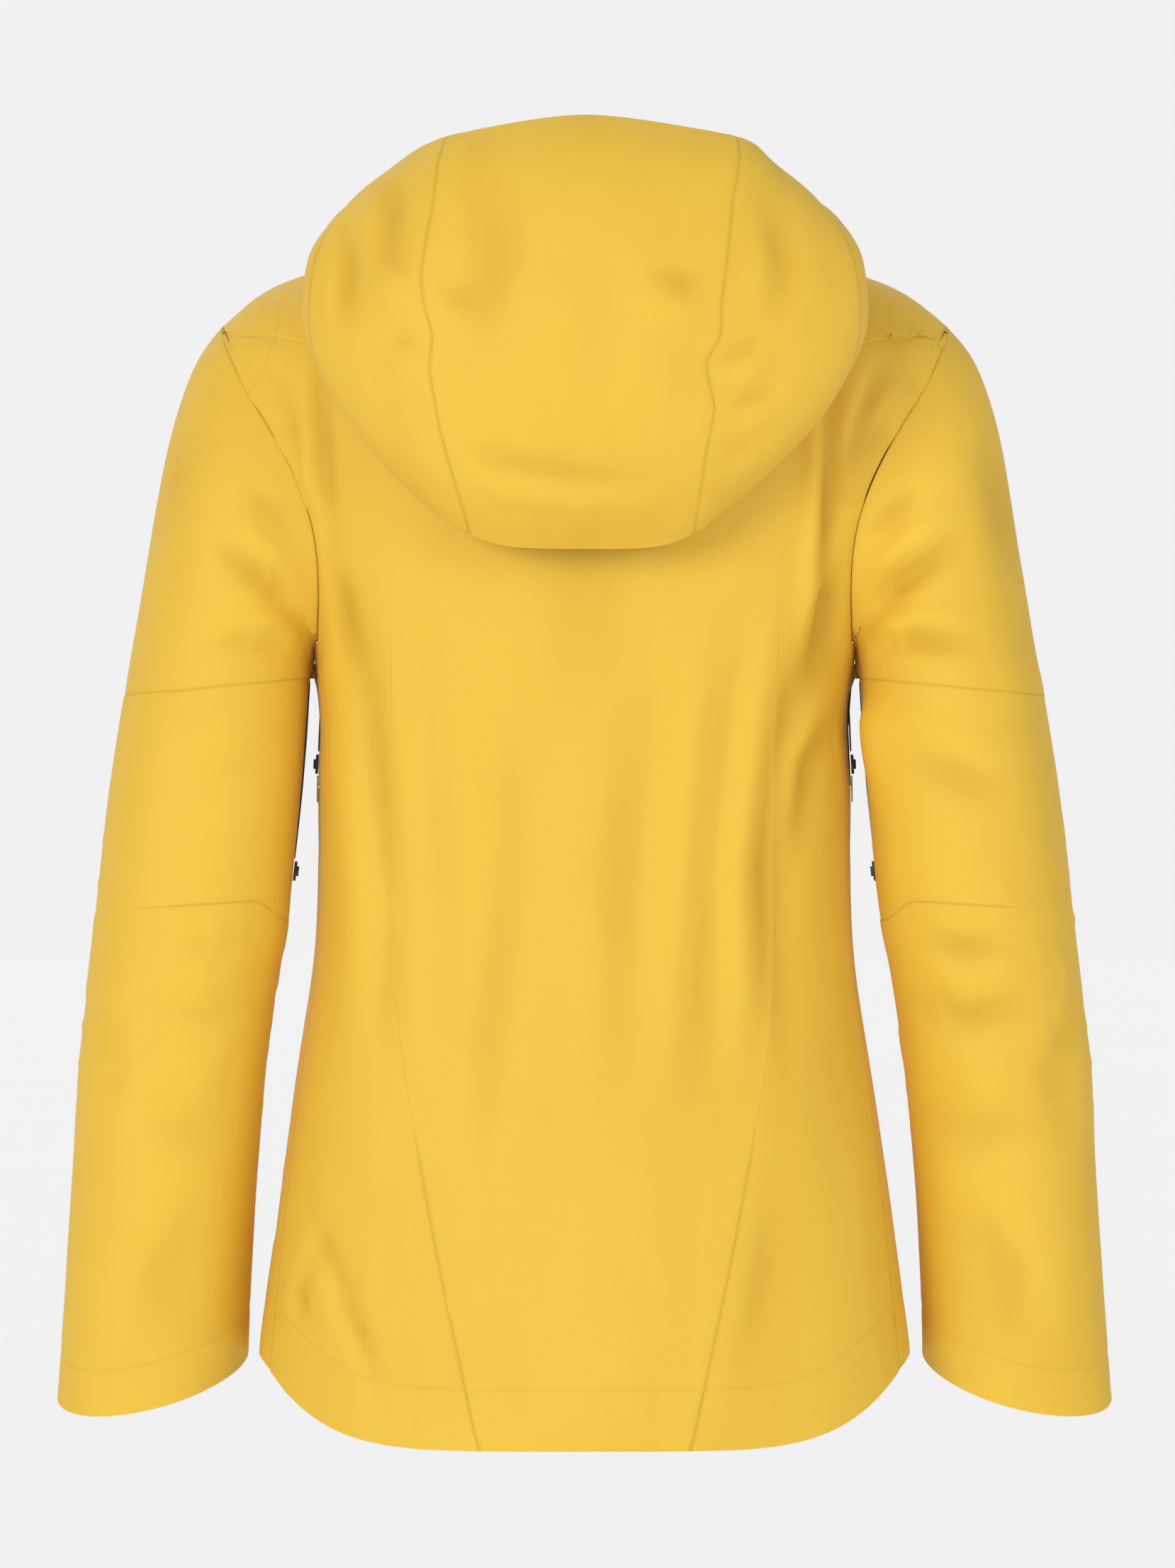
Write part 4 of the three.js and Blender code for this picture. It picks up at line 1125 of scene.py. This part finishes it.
class JACKET_OT_hood(Operator):
    """Cuts the hood's panels, its strip at the neck, its fronts and its brim"""

    bl_idname = "jacket.hood"
    bl_label = "Hood"

    def execute(self, context):
        lift = ("torso", "hood", (0, -0.07, 0), (0, 0.04, 0))
        nodes = ["hood_centre_panel", "hood_neck_strip", "left_hood_panel", "right_hood_panel"]
        nodes += ["left_hood_front", "right_hood_front"]
        for node in nodes:
            wander(cut_panel(node, hood_centre, hood_relief, lift))
        cut_panel("hood_brim", hood_centre, no_relief, lift, thickness=0.9)
        for side, _ in SIDES:
            pull_together("hood_centre_cloth", f"{side}_hood_cloth", 0.85, 0.003)
            pull_together(f"{side}_hood_cloth", f"{side}_hood_front_cloth", 0.9, 0.01, 0.02)
            pull_together("hood_neck_strip_cloth", f"{side}_hood_cloth", 0.9, 0.008)
        pull_together("hood_neck_strip_cloth", "hood_centre_cloth", 0.9, 0.008)
        return {"FINISHED"}


class JACKET_OT_collar(Operator):
    """Cuts the collar, its lining and the inner facings"""

    bl_idname = "jacket.collar"
    bl_label = "Collar and facings"

    def execute(self, context):
        cut_panel("collar_outer", body_centre, no_relief, "torso")
        for node in ("collar_lining", "hem_facing"):
            cut_panel(node, body_centre, no_relief, "torso", finish="lining", thickness=0.9)
        return {"FINISHED"}


# Zip lines on the left side, from the foot up.
FRONT_ZIP_LINE = ((0, -0.2262, -0.6765), (0, -0.1512, 0.0098))
BODY_PIT_LINE = ((0.16185, -0.075, -0.328), (0.15975, -0.075, -0.279))
SLEEVE_PIT_LINE = (
    (0.1764, -0.0632, -0.393),
    (0.1740, -0.0636, -0.372),
    (0.1717, -0.0640, -0.350),
    (0.1693, -0.0655, -0.320),
    (0.1673, -0.0670, -0.286),
)
# The left pocket's zip: up its slope, across it, its closed slider's pin, and its ends seen from there.
POCKET_UP = (-0.08121, 0.09367, 0.99229)
POCKET_ACROSS = (-0.90148, -0.43155, -0.03305)
POCKET_PIN = (0.102546, -0.192729, -0.495428)
POCKET_ENDS = (-0.132, 0.004)
POCKET_TEETH_DEPTH = 1.9 * MM


def on_side(points, sign):
    """A left-hand line's points on one side: sign is -1 on the right."""
    return [Vector((x * sign, y, z)) for x, y, z in points]


class JACKET_OT_front_zip(Operator):
    """Makes the front zip: its two rows of teeth, tapes, foot box, slider and puller, and the storm flap"""

    bl_idname = "jacket.front_zip"
    bl_label = "Front zip"

    def execute(self, context):
        for side, _ in SIDES:
            trim(side + "_zip_tape", "torso", "tape", 0.25)
            trim(side + "_zip_coil", "torso", "tape", 0.5)
        teeth("front_zip_teeth", on_side(FRONT_ZIP_LINE, 1), Vector((0, -1, 0.11)), 2.1, "torso")
        trim("zip_box", "torso", "slider", 0.7)
        trim("front_slider", "front_slider", "slider", 0.45)
        trim("front_puller", "front_puller", "slider", 0.5)
        flap = trim("storm_flap", "torso", "lining", 0.4)
        flat_map(flap, body_centre)
        return {"FINISHED"}


class JACKET_OT_pocket_zips(Operator):
    """Makes the hand pockets' zips, sliders, pullers and bags"""

    bl_idname = "jacket.pocket_zips"
    bl_label = "Pocket zips"

    def execute(self, context):
        for side, sign in SIDES:
            trim(side + "_pocket_zip", "torso", "tape", 0.3)
            trim(side + "_pocket_slider", side + "_pocket_slider", "slider", 0.35)
            trim(side + "_pocket_puller", side + "_pocket_puller", "slider", 0.7)
            up, across, pin = on_side((POCKET_UP, POCKET_ACROSS, POCKET_PIN), sign)
            out = up.cross(across).normalized()
            out *= -math.copysign(1, out.y)
            middle = pin - out * POCKET_TEETH_DEPTH
            line = [middle + up * end for end in POCKET_ENDS]
            teeth(side + "_pocket_teeth", line, out, 2.0, "torso", "dark_teeth")
            bag = trim(side + "_pocket_bag", "torso", "mesh", 0.6)
            modify(bag, "SUBSURF", levels=2)
        return {"FINISHED"}


class JACKET_OT_pit_zips(Operator):
    """Makes the zips under the arms, their sliders and the garages at their feet"""

    bl_idname = "jacket.pit_zips"
    bl_label = "Pit zips"

    def execute(self, context):
        for side, sign in SIDES:
            arm = side + "_arm"
            for part, body in (("body", "torso"), ("sleeve", arm)):
                trim(f"{side}_{part}_pit_zip", body, "dark_tape", 0.3)
                name = f"{side}_{part}_pit_slider"
                trim(name, name, "slider", 0.35)
            trim(side + "_pit_zip_garage", "torso", "patch", 0.25)
            line = on_side(BODY_PIT_LINE, sign)
            teeth(side + "_body_pit_teeth", line, Vector((sign, 0, 0.05)), 1.5, "torso", "dark_teeth")
            line = on_side(SLEEVE_PIT_LINE, sign)
            teeth(side + "_sleeve_pit_teeth", line, Vector((-sign, 0, -0.08)), 1.5, arm, "dark_teeth")
        return {"FINISHED"}


class JACKET_OT_cuffs(Operator):
    """Makes the cuff tabs and the patches they close on"""

    bl_idname = "jacket.cuffs"
    bl_label = "Cuff tabs"

    def execute(self, context):
        for side, _ in SIDES:
            forearm, tab = side + "_forearm", side + "_cuff_tab"
            trim(side + "_cuff_loop_patch", forearm, "patch", 0.3)
            trim(tab, tab, "patch", 0.4)
        return {"FINISHED"}


class JACKET_OT_loop(Operator):
    """Makes the loop that the jacket hangs by"""

    bl_idname = "jacket.loop"
    bl_label = "Hanging loop"

    def execute(self, context):
        loop = trim("hang_loop", "torso", "webbing", 0.3)
        modify(loop, "SUBSURF", levels=2)
        return {"FINISHED"}


class JACKET_OT_sew(Operator):
    """Sews the panels together, folds the cloth and gives it its thickness"""

    bl_idname = "jacket.sew"
    bl_label = "Sew"

    def execute(self, context):
        sew_panels()
        return {"FINISHED"}


FLOOR_RADIUS = 60
FLOOR_Z = -1.05
SENSOR = 36  # the camera's sensor, in millimetres
VIEW_CENTRE = Vector((-0.0017, -0.045, -0.348))
# The lights: the way to each, its share of the main light's strength, and its width in degrees.
LIGHTS = {
    "key": ((0.55, 1.0, 0.14), 1.0, 26),
    "side": ((-0.8, 0.9, 0.1), 0.55, 35),
    "front": ((0.35, -1.0, 0.8), 0.45, 60),
}


class JACKET_OT_stage(Operator):
    """Sets the floor, the lights, the room's light and the camera"""

    bl_idname = "jacket.stage"
    bl_label = "Stage"

    def execute(self, context):
        stage = context.scene.jacket_stage
        bpy.ops.object.select_all(action="DESELECT")
        ground = {"radius": FLOOR_RADIUS, "location": (0, 0, FLOOR_Z)}
        bpy.ops.mesh.primitive_circle_add(fill_type="NGON", vertices=96, **ground)
        floor = context.object
        floor.name = "studio_floor"
        bpy.ops.object.transform_apply(location=True)
        dress(floor, "floor")
        for name, (direction, share, width) in LIGHTS.items():
            bpy.ops.object.light_add(type="SUN", location=Vector(direction) * 3)
            light = context.object
            light.name = name + "_light"
            light.data.energy, light.data.angle = stage.key * share, math.radians(width)
            light.rotation_euler = Vector(direction).to_track_quat("Z", "Y").to_euler()
        world = bpy.data.worlds.new("studio")
        world.use_nodes = True
        nodes, links = world.node_tree.nodes, world.node_tree.links
        room, seen = nodes["Background"], nodes.new("ShaderNodeBackground")
        room.inputs["Color"].default_value = seen.inputs["Color"].default_value = WHITE
        room.inputs["Strength"].default_value = stage.fill
        seen.inputs["Strength"].default_value = stage.backdrop
        either, rays = nodes.new("ShaderNodeMixShader"), nodes.new("ShaderNodeLightPath")
        links.new(rays.outputs["Is Camera Ray"], either.inputs["Fac"])
        links.new(room.outputs[0], either.inputs[1])
        links.new(seen.outputs[0], either.inputs[2])
        links.new(either.outputs[0], nodes["World Output"].inputs["Surface"])
        context.scene.world = world
        context.scene.view_settings.view_transform = "Standard"
        data = bpy.data.cameras.new("camera")
        data.lens, data.sensor_width = stage.lens, SENSOR
        camera = bpy.data.objects.new("camera", data)
        context.collection.objects.link(camera)
        distance = stage.view_height * stage.lens / SENSOR
        camera.location = VIEW_CENTRE + Vector((0, distance, 0))
        camera.rotation_euler = (math.radians(90), 0, math.radians(180))
        context.scene.camera = camera
        return {"FINISHED"}


class JACKET_PT_panel(Panel):
    """Lists the jacket's settings and its pieces"""

    bl_label = "Hardshell Jacket"
    bl_idname = "JACKET_PT_panel"
    bl_space_type = "VIEW_3D"
    bl_region_type = "UI"
    bl_category = "Jacket"

    def draw(self, context):
        for group in (context.scene.jacket_look, context.scene.jacket_stage):
            for key in group.__annotations__:
                self.layout.prop(group, key)
        for maker in MAKERS:
            self.layout.operator(maker.bl_idname)


MAKERS = (
    JACKET_OT_body,
    JACKET_OT_sleeves,
    JACKET_OT_hood,
    JACKET_OT_collar,
    JACKET_OT_front_zip,
    JACKET_OT_pocket_zips,
    JACKET_OT_pit_zips,
    JACKET_OT_cuffs,
    JACKET_OT_loop,
    JACKET_OT_sew,
    JACKET_OT_stage,
)
CLASSES = (JacketLook, JacketStage, *MAKERS, JACKET_PT_panel)


def register():
    """Makes the jacket's settings, operators and panel known to Blender."""
    for item in CLASSES:
        bpy.utils.register_class(item)
    bpy.types.Scene.jacket_look = bpy.props.PointerProperty(type=JacketLook)
    bpy.types.Scene.jacket_stage = bpy.props.PointerProperty(type=JacketStage)


def unregister():
    """Takes them away again."""
    del bpy.types.Scene.jacket_stage
    del bpy.types.Scene.jacket_look
    for item in reversed(CLASSES):
        bpy.utils.unregister_class(item)


def main():
    """Makes every piece, then the stage."""
    register()
    for maker in MAKERS:
        group, name = maker.bl_idname.split(".")
        getattr(getattr(bpy.ops, group), name)()


if __name__ == "__main__":
    main()
